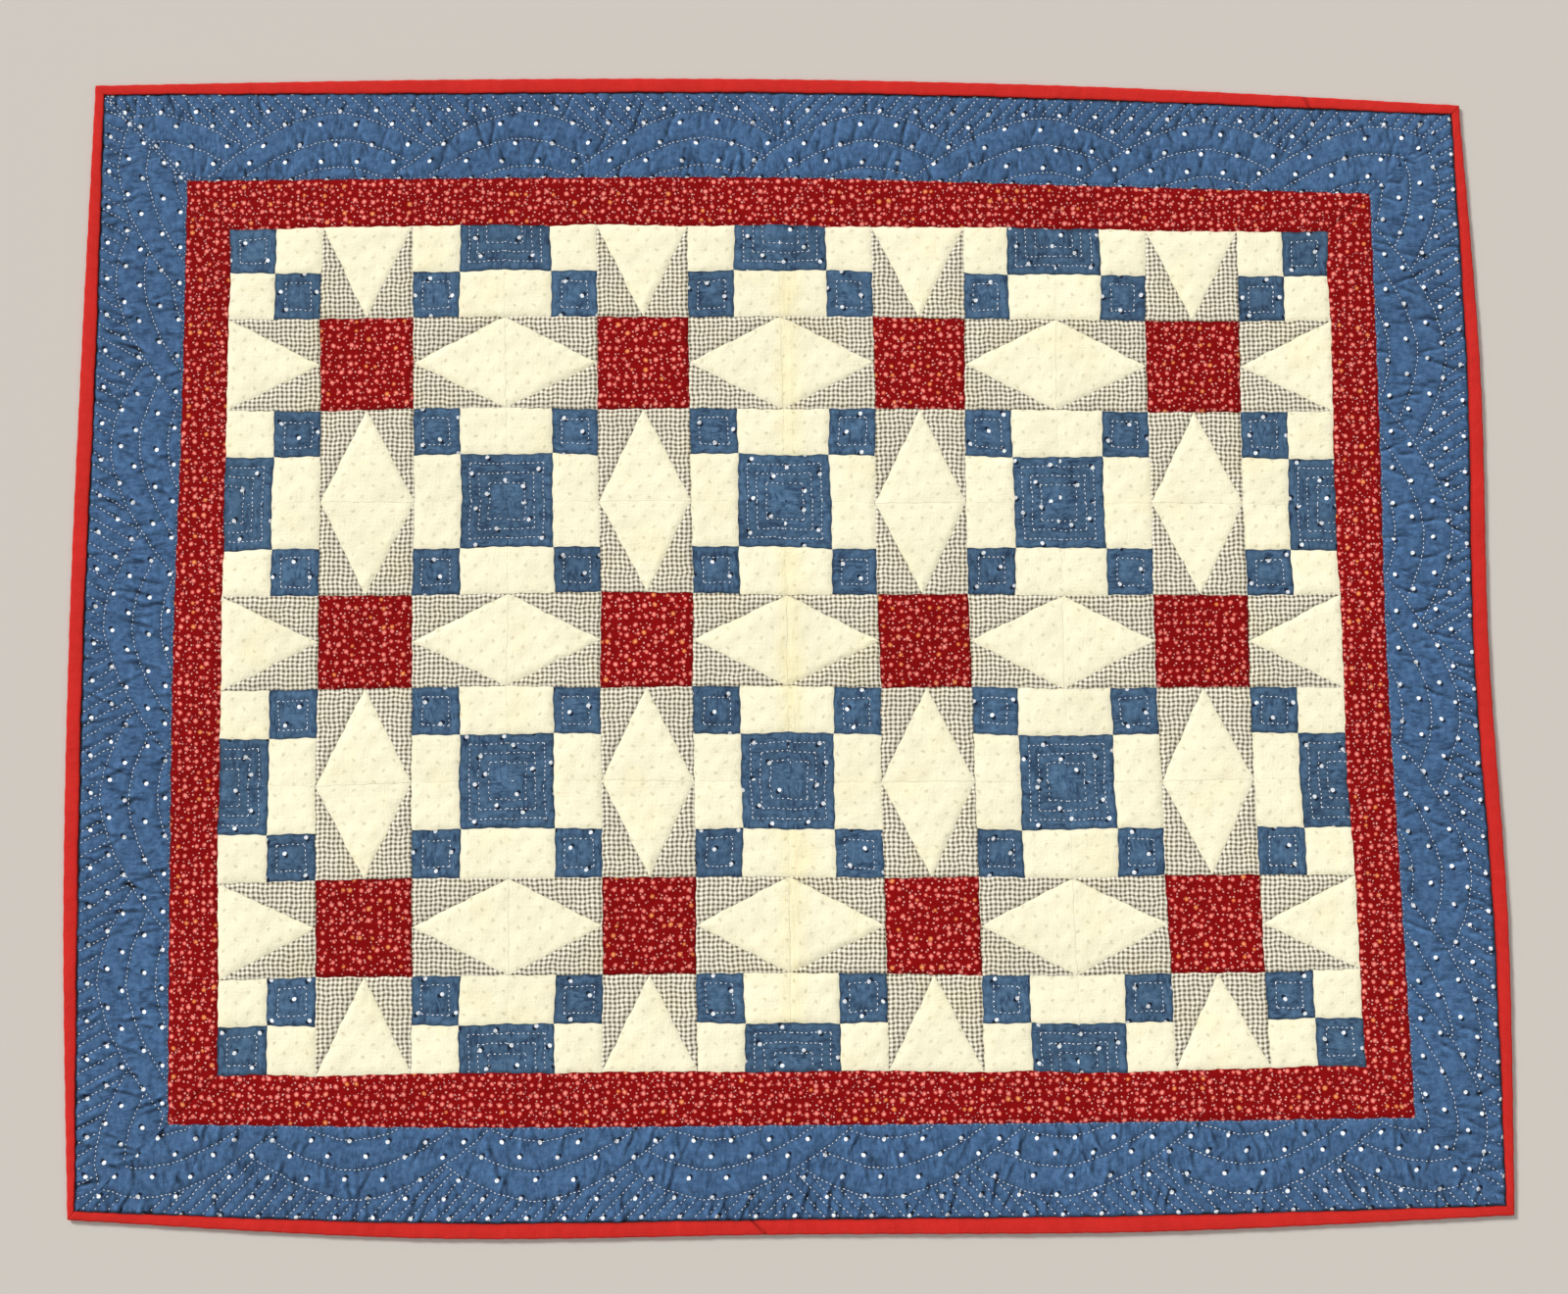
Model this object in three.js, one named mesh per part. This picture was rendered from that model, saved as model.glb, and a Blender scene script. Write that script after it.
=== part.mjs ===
// Crib quilt lying flat: a pieced centre of twelve star blocks, a narrow printed border,
// a wide quilted border with mitred corners, and a folded binding round the edge.
// Millimetres. +X runs along the long side, +Y to the top edge, +Z up.
// The origin is under the middle of the quilt, on the surface that it lies on.

import * as THREE from 'three';

// Driving sizes of the patchwork
const unit = 31.75;
const unitsPerBlock = 6;
const blocksAcross = 4;
const blocksDown = 3;
const unitsAcross = blocksAcross * unitsPerBlock;
const unitsDown = blocksDown * unitsPerBlock;
const seamsInBlock = [0, 1, 2, 4, 5, 6];
const handCut = 1.0;
const mitreShares = [0.2, 0.4, 0.6, 0.8];
const longSideSteps = 64;
const shortSideSteps = 51;
const outlineSteps = 200;

// Heights of the top face above the surface that the quilt lies on
const seamHeight = 2.1;
const stitchHeight = 1.9;
const puffHeight = 3.7;
const smallPuffHeight = 3.0;
const shoulderHeight = 3.3;
const underBindingHeight = 2.3;

// The cloth lies a little unevenly: broad swells, crossed by closer slanting ones. Each has
// its height, and how far apart its waves are to the right and up, for one radian.
const broadSwell = { height: 0.16, across: 61, up: 47, startAcross: 1.3, startUp: 0.4 };
const closeSwell = { height: 0.09, across: 23, up: 31 };

// Cloth of the binding, with its rounded fold at the quilt's edge
const bindingCloth = 0.8;
const bindingWidth = 9;
const foldDepth = 1.1;
const foldSteps = 4;
const crownShare = 0.55;
const crownRise = 0.1;
const lipRounding = 0.15;
const lipLineInset = 1;
const creaseInset = 5;

// Clearances between neighbouring pieces
const seamGap = 0.15;
const mitreGap = 0.4;
const foldGap = 0.5;
const lipGap = 0.3;

// Quilting sizes: shells of three arcs in the wide border, slanting lines above them,
// a stitched square in each small blue patch, and nested squares in the large ones
const shellRise = 48;
const shellReach = 93;
const shellPower = 1.7;
const arcRises = [48, 28.5, 9];
const crestRises = [38.5, 19];
const arcStep = 14;
const slantPitch = 12;
const slantTravel = 0.9;
const slantStep = 9.5;
const slantStart = 5.7;
const slantClearance = 4.75;
const pointClearance = 5;
const smallSquareInset = 6.3;
const smallCrownInset = 10;
const nestedSquarePitch = 6.4;
const nestedSquares = 3;
const nestedCrownShare = 0.6;
const pillowInset = 5.5;

// The block corners lie a little off their even places: millimetres to the right and up.
// One row for each line of block corners from the top, columns from left to right.
const blockCornerShift = [
  { right: [-2.6, -2.4, -2.4, -2.5, -3.0], up: [5.0, 6.0, 5.2, 1.0, -2.0] },
  { right: [-2.5, 0.7, 0.1, -2.6, -3.8], up: [1.5, 3.3, 1.1, -1.1, -3.4] },
  { right: [-2.5, 1.9, 1.4, -0.3, -1.5], up: [-1.5, 1.8, 0.8, -1.4, -0.6] },
  { right: [0.6, 3.5, 2.8, 4.2, 4.2], up: [-3.4, -2.6, -3.0, -4.2, -1.6] },
];

// Sides in clockwise order. Reaches are distances from the middle of the patchwork at the
// first corner, the three quarter points and the last corner, going clockwise:
// the seam between the two borders, the seam of the binding, and the outer edge.
const sides = [
  {
    name: 'top',
    outward: [0, 1],
    borderSeam: [325.0, 325.6, 324.6, 317.6, 310.5],
    bindingSeam: [387.4, 386.8, 385.8, 378.5, 366.8],
    edge: [394.3, 397.0, 395.8, 388.2, 373.8],
    shells: [-437, -310, -180, -57, 62, 182, 297, 415],
  },
  {
    name: 'right',
    outward: [1, 0],
    borderSeam: [408.7, 409.5, 408.8, 412.6, 416.7],
    bindingSeam: [467.5, 471.5, 468.4, 474.5, 474.9],
    edge: [473.3, 480.8, 478.8, 484.3, 480.5],
    shells: [-315, -197, -72, 50, 160, 265, 325],
  },
  {
    name: 'bottom',
    outward: [0, -1],
    borderSeam: [321.3, 323.1, 323.6, 323.8, 320.3],
    bindingSeam: [379.1, 384.0, 385.0, 385.8, 376.6],
    edge: [385.5, 394.6, 394.8, 395.8, 382.3],
    shells: [-423, -305, -180, -65, 50, 168, 290, 430],
  },
  {
    name: 'left',
    outward: [-1, 0],
    borderSeam: [412.8, 415.3, 416.6, 414.4, 414.3],
    bindingSeam: [473.3, 476.8, 478.0, 474.8, 474.0],
    edge: [478.3, 486.4, 488.0, 485.0, 480.3],
    shells: [-342, -225, -103, 17, 140, 257, 335],
  },
];

// Cloth colours of the pieces
const clothColours = {
  centre: '#e6dcc2',
  innerBorder: '#8f1f1c',
  outerBorder: '#47658a',
  binding: '#d1302a',
};

// A number from -1 to 1 that is always the same for the same place
function wobble(first, second, seed) {
  const wave = Math.sin(first * 12.9898 + second * 78.233 + seed * 37.719) * 43758.5453;
  return 2 * (wave - Math.floor(wave)) - 1;
}

function blend(from, to, share) {
  return from + (to - from) * share;
}

function outwardOf(side) {
  return new THREE.Vector2(...side.outward);
}

function alongOf(side) {
  return new THREE.Vector2(side.outward[1], -side.outward[0]);
}

// A corner of the patchwork grid, counted in units from the top left corner
function gridCorner(across, down) {
  const column = Math.min(Math.floor(across / unitsPerBlock), blocksAcross - 1);
  const row = Math.min(Math.floor(down / unitsPerBlock), blocksDown - 1);
  const shareAcross = across / unitsPerBlock - column;
  const shareDown = down / unitsPerBlock - row;
  const shift = ['right', 'up'].map((way) => {
    const upper = blockCornerShift[row][way];
    const lower = blockCornerShift[row + 1][way];
    const above = blend(upper[column], upper[column + 1], shareAcross);
    const below = blend(lower[column], lower[column + 1], shareAcross);
    return blend(above, below, shareDown);
  });
  return new THREE.Vector2(
    (across - unitsAcross / 2) * unit + shift[0] + handCut * wobble(across, down, 1),
    (unitsDown / 2 - down) * unit + shift[1] + handCut * wobble(across, down, 2),
  );
}

// A corner where patches meet. Seams that only pass it run straight through, so that it
// lies midway between its neighbours along the seam.
function junction(across, down) {
  const right = across % unitsPerBlock;
  const low = down % unitsPerBlock;
  if (right === 3 || ([1, 5].includes(right) && [2, 4].includes(low))) {
    return junction(across - 1, down).lerp(junction(across + 1, down), 0.5);
  }
  if (low === 3 || ([2, 4].includes(right) && [1, 5].includes(low))) {
    return junction(across, down - 1).lerp(junction(across, down + 1), 0.5);
  }
  return gridCorner(across, down);
}

// The edge of the patchwork on one side, a straight run between neighbouring seams: the
// star points at the middle of each block's edge have no seam between them
function patchworkEdge(sideIndex, share) {
  const count = sideIndex % 2 === 0 ? unitsAcross : unitsDown;
  const place = share * count;
  const blockStart = Math.min(Math.floor(place / unitsPerBlock), count / unitsPerBlock - 1) * unitsPerBlock;
  const next = seamsInBlock.find((seam) => blockStart + seam > place) ?? unitsPerBlock;
  const last = seamsInBlock[seamsInBlock.indexOf(next) - 1];
  const ends = [blockStart + last, blockStart + next].map((spot) => {
    if (sideIndex === 0) return junction(spot, 0);
    if (sideIndex === 1) return junction(unitsAcross, spot);
    if (sideIndex === 2) return junction(unitsAcross - spot, unitsDown);
    return junction(0, unitsDown - spot);
  });
  return ends[0].lerp(ends[1], (place - blockStart - last) / (next - last));
}

// A long seam or edge on one side, a smooth curve from corner to corner
function longSeam(sideIndex, seam, share, endShift) {
  const side = sides[sideIndex];
  const before = sides[(sideIndex + 3) % 4][seam];
  const after = sides[(sideIndex + 1) % 4][seam];
  const reaches = side[seam];
  const first = -before[before.length - 1] + endShift;
  const last = after[0] - endShift;
  const curve = new THREE.SplineCurve(
    reaches.map((reach, i) => new THREE.Vector2(blend(first, last, i / (reaches.length - 1)), reach)),
  );
  const spot = curve.getPoint(share);
  return alongOf(side).multiplyScalar(spot.x).addScaledVector(outwardOf(side), spot.y);
}

// A place on a seam, moved outwards, with the ends of the seam following the mitres
function seamPoint(sideIndex, seam, share, mitreShift, outwardShift) {
  const side = sides[sideIndex];
  const endShift = mitreShift - outwardShift;
  if (seam !== 'patchwork') {
    return longSeam(sideIndex, seam, share, endShift).addScaledVector(outwardOf(side), outwardShift);
  }
  const point = patchworkEdge(sideIndex, share);
  point.addScaledVector(alongOf(side), endShift * (1 - 2 * share));
  return point.addScaledVector(outwardOf(side), outwardShift);
}

function rowOf(sideIndex, seam, count, mitreShift, outwardShift) {
  const row = [];
  for (let i = 0; i <= count; i += 1) {
    row.push(seamPoint(sideIndex, seam, i / count, mitreShift, outwardShift));
  }
  return row;
}

// The middle of the outline becomes the origin
function outlineMiddle() {
  const box = new THREE.Box2();
  sides.forEach((side, index) => {
    rowOf(index, 'edge', outlineSteps, 0, 0).forEach((point) => box.expandByPoint(point));
  });
  return box.getCenter(new THREE.Vector2());
}

const middle = outlineMiddle();

// How much higher or lower than even the cloth lies at a place
function uneven(point) {
  const across = Math.sin(point.x / broadSwell.across + broadSwell.startAcross);
  const up = Math.sin(point.y / broadSwell.up + broadSwell.startUp);
  const slanting = Math.sin(point.x / closeSwell.across - point.y / closeSwell.up);
  return broadSwell.height * across * up + closeSwell.height * slanting;
}

// A sheet of cloth: triangles of the top face, then walls and an underside that close it

class Sheet {
  constructor() {
    this.points = [];
    this.faces = [];
    this.known = new Map();
  }

  vertex(point, height) {
    const key = `${point.x.toFixed(3)} ${point.y.toFixed(3)} ${height.toFixed(3)}`;
    if (!this.known.has(key)) {
      this.known.set(key, this.points.length);
      this.points.push([point.x - middle.x, point.y - middle.y, height]);
    }
    return this.known.get(key);
  }

  face(...corners) {
    for (let i = 1; i < corners.length - 1; i += 1) {
      const triangle = [corners[0], corners[i], corners[i + 1]];
      if (new Set(triangle).size === 3) this.faces.push(triangle);
    }
  }

  // A band between two rows of equally many corners, the first row to the right of the second
  band(first, second, closed) {
    const count = first.length;
    for (let i = 0; i < (closed ? count : count - 1); i += 1) {
      const next = (i + 1) % count;
      this.face(first[i], first[next], second[next]);
      this.face(first[i], second[next], second[i]);
    }
  }

  // Fills a loop of corners that runs anticlockwise seen from the side it faces
  fill(corners, seenFromBelow) {
    const flat = corners.map((corner) => {
      const [x, y] = this.points[corner];
      return new THREE.Vector2(seenFromBelow ? -x : x, y);
    });
    THREE.ShapeUtils.triangulateShape(flat, []).forEach((triangle) => {
      this.face(...triangle.map((place) => corners[place]));
    });
  }

  // The rim of the top face, as a loop of corners that runs anticlockwise
  rim() {
    const next = new Map();
    const edges = new Set();
    this.faces.forEach((face) => {
      face.forEach((corner, i) => edges.add(`${corner} ${face[(i + 1) % 3]}`));
    });
    edges.forEach((edge) => {
      const [from, to] = edge.split(' ').map(Number);
      if (!edges.has(`${to} ${from}`)) next.set(from, to);
    });
    const loop = [next.keys().next().value];
    while (next.get(loop[loop.length - 1]) !== loop[0]) {
      loop.push(next.get(loop[loop.length - 1]));
    }
    return loop;
  }

  // The same place as a corner of the top, at the height of the underside
  below(corner, height) {
    const [x, y] = this.points[corner];
    return this.vertex(new THREE.Vector2(x + middle.x, y + middle.y), height);
  }

  mesh(name, colour) {
    const geometry = new THREE.BufferGeometry();
    geometry.setAttribute('position', new THREE.Float32BufferAttribute(this.points.flat(), 3));
    geometry.setIndex(this.faces.flat());
    geometry.computeVertexNormals();
    const cloth = new THREE.MeshStandardMaterial({ color: colour, roughness: 0.95, metalness: 0 });
    const solid = new THREE.Mesh(geometry, cloth);
    solid.name = name;
    return solid;
  }
}

// Pieced centre. Patches are loops of junctions of one block, counted in units from its
// top left corner; the three other quarters of the block are the same patches turned.

const blockQuarter = [
  { form: 'pillow', loop: [[1, 0], [2, 0], [2, 1], [1, 1]] },
  { form: 'pillow', loop: [[0, 1], [1, 1], [1, 2], [0, 2]] },
  { form: 'stitched', loop: [[1, 1], [2, 1], [2, 2], [1, 2]] },
  { form: 'nested', loop: [[0, 0], [1, 0], [1, 1], [0, 1]] },
  { form: 'pillow', loop: [[2, 0], [3, 2], [2, 2], [2, 1]] },
  { form: 'pillow', loop: [[4, 0], [4, 1], [4, 2], [3, 2]] },
  { form: 'pillow', loop: [[2, 0], [4, 0], [3, 2]] },
];
const blockMiddle = {
  form: 'pillow',
  loop: [[2, 2], [3, 2], [4, 2], [4, 3], [4, 4], [3, 4], [2, 4], [2, 3]],
};

function quarterTurn([across, down], turns) {
  let spot = [across, down];
  for (let i = 0; i < turns; i += 1) spot = [unitsPerBlock - spot[1], spot[0]];
  return spot;
}

// Moves each corner of a loop inwards so that every edge keeps the same inset
function insetLoop(loop, inset) {
  return loop.map((corner, i) => {
    const before = loop[(i + loop.length - 1) % loop.length];
    const after = loop[(i + 1) % loop.length];
    const arriving = corner.clone().sub(before).normalize();
    const leaving = after.clone().sub(corner).normalize();
    const inward = new THREE.Vector2(-arriving.y - leaving.y, arriving.x + leaving.x).normalize();
    const slope = inward.x * -arriving.y + inward.y * arriving.x;
    return corner.clone().addScaledVector(inward, inset / slope);
  });
}

function addPillow(sheet, loop, rings) {
  let outer = loop.map((corner) => sheet.vertex(corner, seamHeight));
  rings.forEach(({ inset, height, lively }) => {
    const places = insetLoop(loop, inset);
    const inner = places.map((place) => sheet.vertex(place, height + (lively ? uneven(place) : 0)));
    sheet.band(outer, inner, true);
    outer = inner;
  });
  sheet.fill(outer, false);
}

// A quarter of a large blue square: bent rows parallel to its two outer edges. The loop
// starts at the middle of the large square and its third corner is the outer corner.
function addNestedQuarter(sheet, loop) {
  const [heart, right, corner, left] = loop;
  const rows = [{ inset: 0, height: seamHeight }];
  for (let i = 0; i < nestedSquares; i += 1) {
    rows.push({ inset: (i + 0.5) * nestedSquarePitch, height: smallPuffHeight });
    rows.push({ inset: (i + 1) * nestedSquarePitch, height: stitchHeight });
  }
  rows.push({ inset: (nestedSquares + nestedCrownShare) * nestedSquarePitch, height: smallPuffHeight });
  const spots = rows.map(({ inset, height }) => {
    const share = inset / unit;
    const onRight = right.clone().lerp(heart, share);
    const onLeft = left.clone().lerp(heart, share);
    const bend = corner.clone().lerp(heart, share);
    const crest = height === smallPuffHeight;
    const seamLevel = crest ? (height + stitchHeight) / 2 : height;
    return [
      sheet.vertex(onRight, seamLevel),
      sheet.vertex(bend, height),
      sheet.vertex(onLeft, seamLevel),
    ];
  });
  for (let i = 0; i < spots.length - 1; i += 1) {
    sheet.band(spots[i], spots[i + 1], false);
  }
  const last = spots[spots.length - 1];
  const centre = sheet.vertex(heart, seamHeight);
  sheet.face(last[0], last[1], centre);
  sheet.face(last[1], last[2], centre);
}

function addPatch(sheet, patch, column, row, turns) {
  const places = patch.loop.map((spot) => {
    const [across, down] = quarterTurn(spot, turns);
    return [column * unitsPerBlock + across, row * unitsPerBlock + down];
  });
  const loop = places.map(([across, down]) => {
    const corner = junction(across, down);
    if (across === 0) corner.x += seamGap;
    if (across === unitsAcross) corner.x -= seamGap;
    if (down === 0) corner.y -= seamGap;
    if (down === unitsDown) corner.y += seamGap;
    return corner;
  }).reverse();
  // At the corners of the patchwork a quarter stands alone, quilted like a small square
  const alone = places.some(([across, down]) => across % unitsAcross === 0 && down % unitsDown === 0);
  if (patch.form === 'nested' && !alone) {
    const [left, outer, right, heart] = loop;
    addNestedQuarter(sheet, [heart, left, outer, right]);
  } else if (patch.form !== 'pillow') {
    addPillow(sheet, loop, [
      { inset: smallSquareInset / 2, height: smallPuffHeight, lively: true },
      { inset: smallSquareInset, height: stitchHeight, lively: false },
      { inset: smallCrownInset, height: smallPuffHeight, lively: true },
    ]);
  } else {
    addPillow(sheet, loop, [{ inset: pillowInset, height: puffHeight, lively: true }]);
  }
}

function makePiecedCentre() {
  const sheet = new Sheet();
  for (let row = 0; row < blocksDown; row += 1) {
    for (let column = 0; column < blocksAcross; column += 1) {
      for (let turns = 0; turns < 4; turns += 1) {
        blockQuarter.forEach((patch) => addPatch(sheet, patch, column, row, turns));
      }
      addPatch(sheet, blockMiddle, column, row, 0);
    }
  }
  const rim = sheet.rim();
  const foot = rim.map((corner) => sheet.below(corner, 0));
  sheet.band(foot, rim, true);
  sheet.fill([...foot].reverse(), true);
  return sheet.mesh('pieced_centre', clothColours.centre);
}

// Inner border: a narrow strip on each side with mitred ends, puffed between its seams

function makeInnerBorder(sideIndex) {
  const sheet = new Sheet();
  const count = sideIndex % 2 === 0 ? unitsAcross : unitsDown;
  const inner = rowOf(sideIndex, 'patchwork', count, mitreGap, seamGap);
  const outer = rowOf(sideIndex, 'borderSeam', count, mitreGap, -seamGap);
  const profile = [
    { share: 0, height: seamHeight },
    { share: 0.2, height: shoulderHeight },
    { share: 0.5, height: puffHeight },
    { share: 0.8, height: shoulderHeight },
    { share: 1, height: seamHeight },
  ];
  const rows = profile.map(({ share, height }) => inner.map((point, i) => {
    const place = point.clone().lerp(outer[i], share);
    const onRim = i === 0 || i === count || share === 0 || share === 1;
    return sheet.vertex(place, onRim ? seamHeight : height + uneven(place));
  }));
  for (let i = 0; i < rows.length - 1; i += 1) sheet.band(rows[i], rows[i + 1], false);
  const rim = sheet.rim();
  const foot = rim.map((corner) => sheet.below(corner, 0));
  sheet.band(foot, rim, true);
  sheet.fill([...foot].reverse(), true);
  return sheet.mesh(`inner_border_${sides[sideIndex].name}`, clothColours.innerBorder);
}

// Outer border: quilted points scattered along its stitched lines and the crests between
// them, joined into triangles

function insideLoop(point, loop) {
  let inside = false;
  loop.forEach((from, i) => {
    const to = loop[(i + 1) % loop.length];
    const crosses = (from.y > point.y) !== (to.y > point.y);
    const crossing = from.x + ((point.y - from.y) / (to.y - from.y)) * (to.x - from.x);
    if (crosses && point.x < crossing) inside = !inside;
  });
  return inside;
}

function distanceToLoop(point, loop) {
  const gaps = loop.map((from, i) => {
    const run = loop[(i + 1) % loop.length].clone().sub(from);
    const share = THREE.MathUtils.clamp(point.clone().sub(from).dot(run) / run.lengthSq(), 0, 1);
    return from.clone().addScaledVector(run, share).distanceTo(point);
  });
  return Math.min(...gaps);
}

function circled(points, corners) {
  const [a, b, c] = corners.map((corner) => points[corner]);
  const scale = 2 * (a.x * (b.y - c.y) + b.x * (c.y - a.y) + c.x * (a.y - b.y));
  const squares = [a.lengthSq(), b.lengthSq(), c.lengthSq()];
  const centre = new THREE.Vector2(
    (squares[0] * (b.y - c.y) + squares[1] * (c.y - a.y) + squares[2] * (a.y - b.y)) / scale,
    (squares[0] * (c.x - b.x) + squares[1] * (a.x - c.x) + squares[2] * (b.x - a.x)) / scale,
  );
  return { corners, centre, radius: centre.distanceTo(a) };
}

// Joins loose points into triangles whose circles hold no other point
function joinPoints(points) {
  const far = 1e5;
  const frame = [[-far, -far], [far, -far], [0, far]].map((spot) => new THREE.Vector2(...spot));
  const all = [...points, ...frame];
  const count = points.length;
  let triangles = [circled(all, [count, count + 1, count + 2])];
  points.forEach((point, index) => {
    const opened = new Map();
    triangles = triangles.filter((triangle) => {
      if (triangle.centre.distanceTo(point) >= triangle.radius) return true;
      triangle.corners.forEach((from, i) => {
        const to = triangle.corners[(i + 1) % 3];
        if (!opened.delete(`${to} ${from}`)) opened.set(`${from} ${to}`, [from, to]);
      });
      return false;
    });
    opened.forEach(([from, to]) => triangles.push(circled(all, [from, to, index])));
  });
  return triangles.map(({ corners }) => corners).filter((corners) => Math.max(...corners) < count);
}

// Height of a shell's arc above the border seam, a distance along from the shell's middle
function arcHeight(rise, distance) {
  return rise - shellRise * (Math.abs(distance) / shellReach) ** shellPower;
}

function skyline(shells, along) {
  return Math.max(...shells.map((middleOfShell) => arcHeight(shellRise, along - middleOfShell)));
}

// Places on the arcs of one side's shells; each shell lies over the one before it
function shellPlaces(side, rises, height) {
  const places = [];
  side.shells.forEach((middleOfShell, index) => {
    const next = side.shells[index + 1] ?? Infinity;
    rises.forEach((rise) => {
      const reach = shellReach * (rise / shellRise) ** (1 / shellPower);
      const steps = Math.ceil((2 * reach) / arcStep);
      for (let i = 0; i <= steps; i += 1) {
        const along = middleOfShell + reach * ((2 * i) / steps - 1);
        const above = arcHeight(rise, along - middleOfShell);
        const covered = above < arcHeight(shellRise, along - next);
        if (!covered) places.push({ along, above, height });
      }
    });
  });
  return places;
}

// Places on the slanting lines between the shells and the binding: they lean to the
// middle of the side from both ends
function slantPlaces(side, borderWidth, length, offset, height) {
  const places = [];
  for (let start = -length; start < length; start += slantPitch) {
    for (let drop = slantStart; drop < borderWidth; drop += slantStep) {
      const above = borderWidth - drop;
      const along = start + offset - Math.sign(start) * drop * slantTravel;
      const clear = above > skyline(side.shells, along) + slantClearance;
      if (clear && along * start > 0) places.push({ along, above, height });
    }
  }
  return places;
}

function makeOuterBorder(sideIndex) {
  const side = sides[sideIndex];
  const sheet = new Sheet();
  const insetOfEdge = -(bindingCloth + foldGap);
  const count = sideIndex % 2 === 0 ? longSideSteps : shortSideSteps;
  const inner = rowOf(sideIndex, 'borderSeam', count, mitreGap, seamGap);
  const outer = rowOf(sideIndex, 'edge', count, mitreGap, insetOfEdge);
  const lipLine = rowOf(sideIndex, 'bindingSeam', count, mitreGap, -lipLineInset);
  const crease = rowOf(sideIndex, 'bindingSeam', count, mitreGap, -creaseInset);
  const mitreOf = (place) => {
    const parts = mitreShares.map((share) => inner[place].clone().lerp(crease[place], share));
    return [...parts, crease[place], lipLine[place]];
  };
  const startMitre = mitreOf(0).reverse();
  const endMitre = mitreOf(count);
  const rim = [...inner, ...endMitre, ...[...outer].reverse(), ...startMitre];
  const field = [...inner, ...endMitre, ...lipLine.slice(1, -1).reverse(), ...startMitre];

  // The surface is stitched down along the seam of the binding and under its lip, also
  // between the steps of the row, so that no raised quilting reaches in under the lip
  const lipMiddles = lipLine.slice(1).map((place, i) => place.clone().lerp(lipLine[i], 0.5));
  const underLip = [...outer, ...lipLine, ...lipMiddles];
  const kept = [...rim, ...lipLine.slice(1, -1), ...lipMiddles].map((place) => {
    return { place, height: underLip.includes(place) ? underBindingHeight : seamHeight };
  });

  const along = alongOf(side);
  const outward = outwardOf(side);
  const reachOfSeam = (distance) => {
    const first = inner[0].dot(along);
    const last = inner[count].dot(along);
    const share = THREE.MathUtils.clamp((distance - first) / (last - first), 0, 1);
    return seamPoint(sideIndex, 'borderSeam', share, mitreGap, 0).dot(outward);
  };
  const width = lipLine[Math.round(count / 2)].dot(outward) - reachOfSeam(0);
  const length = Math.max(...outer.map((place) => Math.abs(place.dot(along))));
  const candidates = [
    ...shellPlaces(side, arcRises, stitchHeight),
    ...slantPlaces(side, width, length, 0, stitchHeight),
    ...shellPlaces(side, crestRises, puffHeight),
    ...slantPlaces(side, width, length, slantPitch / 2, smallPuffHeight),
  ];
  candidates.forEach(({ along: distance, above, height }) => {
    const place = along.clone().multiplyScalar(distance);
    place.addScaledVector(outward, reachOfSeam(distance) + above);
    if (!insideLoop(place, field) || distanceToLoop(place, field) < arcStep / 2) return;
    if (kept.some((other) => other.place.distanceTo(place) < pointClearance)) return;
    const lively = height === puffHeight ? uneven(place) : 0;
    kept.push({ place, height: height + lively });
  });

  const corners = kept.map(({ place, height }) => sheet.vertex(place, height));
  joinPoints(kept.map(({ place }) => place)).forEach((triangle) => {
    const [a, b, c] = triangle.map((corner) => kept[corner].place);
    const heart = a.clone().add(b).add(c).divideScalar(3);
    if (insideLoop(heart, rim)) sheet.face(...triangle.map((corner) => corners[corner]));
  });

  // Walls, and an underside that rises at the edge to make room for the binding
  const footOf = (place) => sheet.vertex(place, underLip.includes(place) ? bindingCloth + lipGap : 0);
  const foot = new Map(rim.map((place, i) => [corners[i], footOf(place)]));
  const rimCorners = sheet.rim();
  sheet.band(rimCorners.map((corner) => foot.get(corner)), rimCorners, true);
  sheet.band(lipLine.map(footOf), crease.map(footOf), false);
  sheet.band(outer.map(footOf), lipLine.map(footOf), false);
  const ground = [
    ...inner,
    ...endMitre.slice(0, -2),
    ...[...crease].reverse(),
    ...startMitre.slice(2),
  ];
  sheet.fill(ground.reverse().map(footOf), true);
  return sheet.mesh(`outer_border_${side.name}`, clothColours.outerBorder);
}

// Binding: a strip folded over the edge, swept along each side between mitred ends.
// The profile runs round the cloth: inset from the outer edge, and height.

function bindingProfile(width) {
  const lipUnder = underBindingHeight + lipGap;
  const top = lipUnder + bindingCloth;
  const fold = [];
  for (let i = foldSteps; i >= 0; i -= 1) {
    const turn = (Math.PI * i) / foldSteps;
    fold.push([foldDepth * (1 - Math.sin(turn)), (top / 2) * (1 - Math.cos(turn))]);
  }
  return [
    ...fold,
    [width, 0],
    [width, bindingCloth],
    [bindingCloth, bindingCloth],
    [bindingCloth, lipUnder],
    [width, lipUnder],
    [width, top - lipRounding],
    [width * crownShare, top + crownRise],
  ];
}

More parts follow.
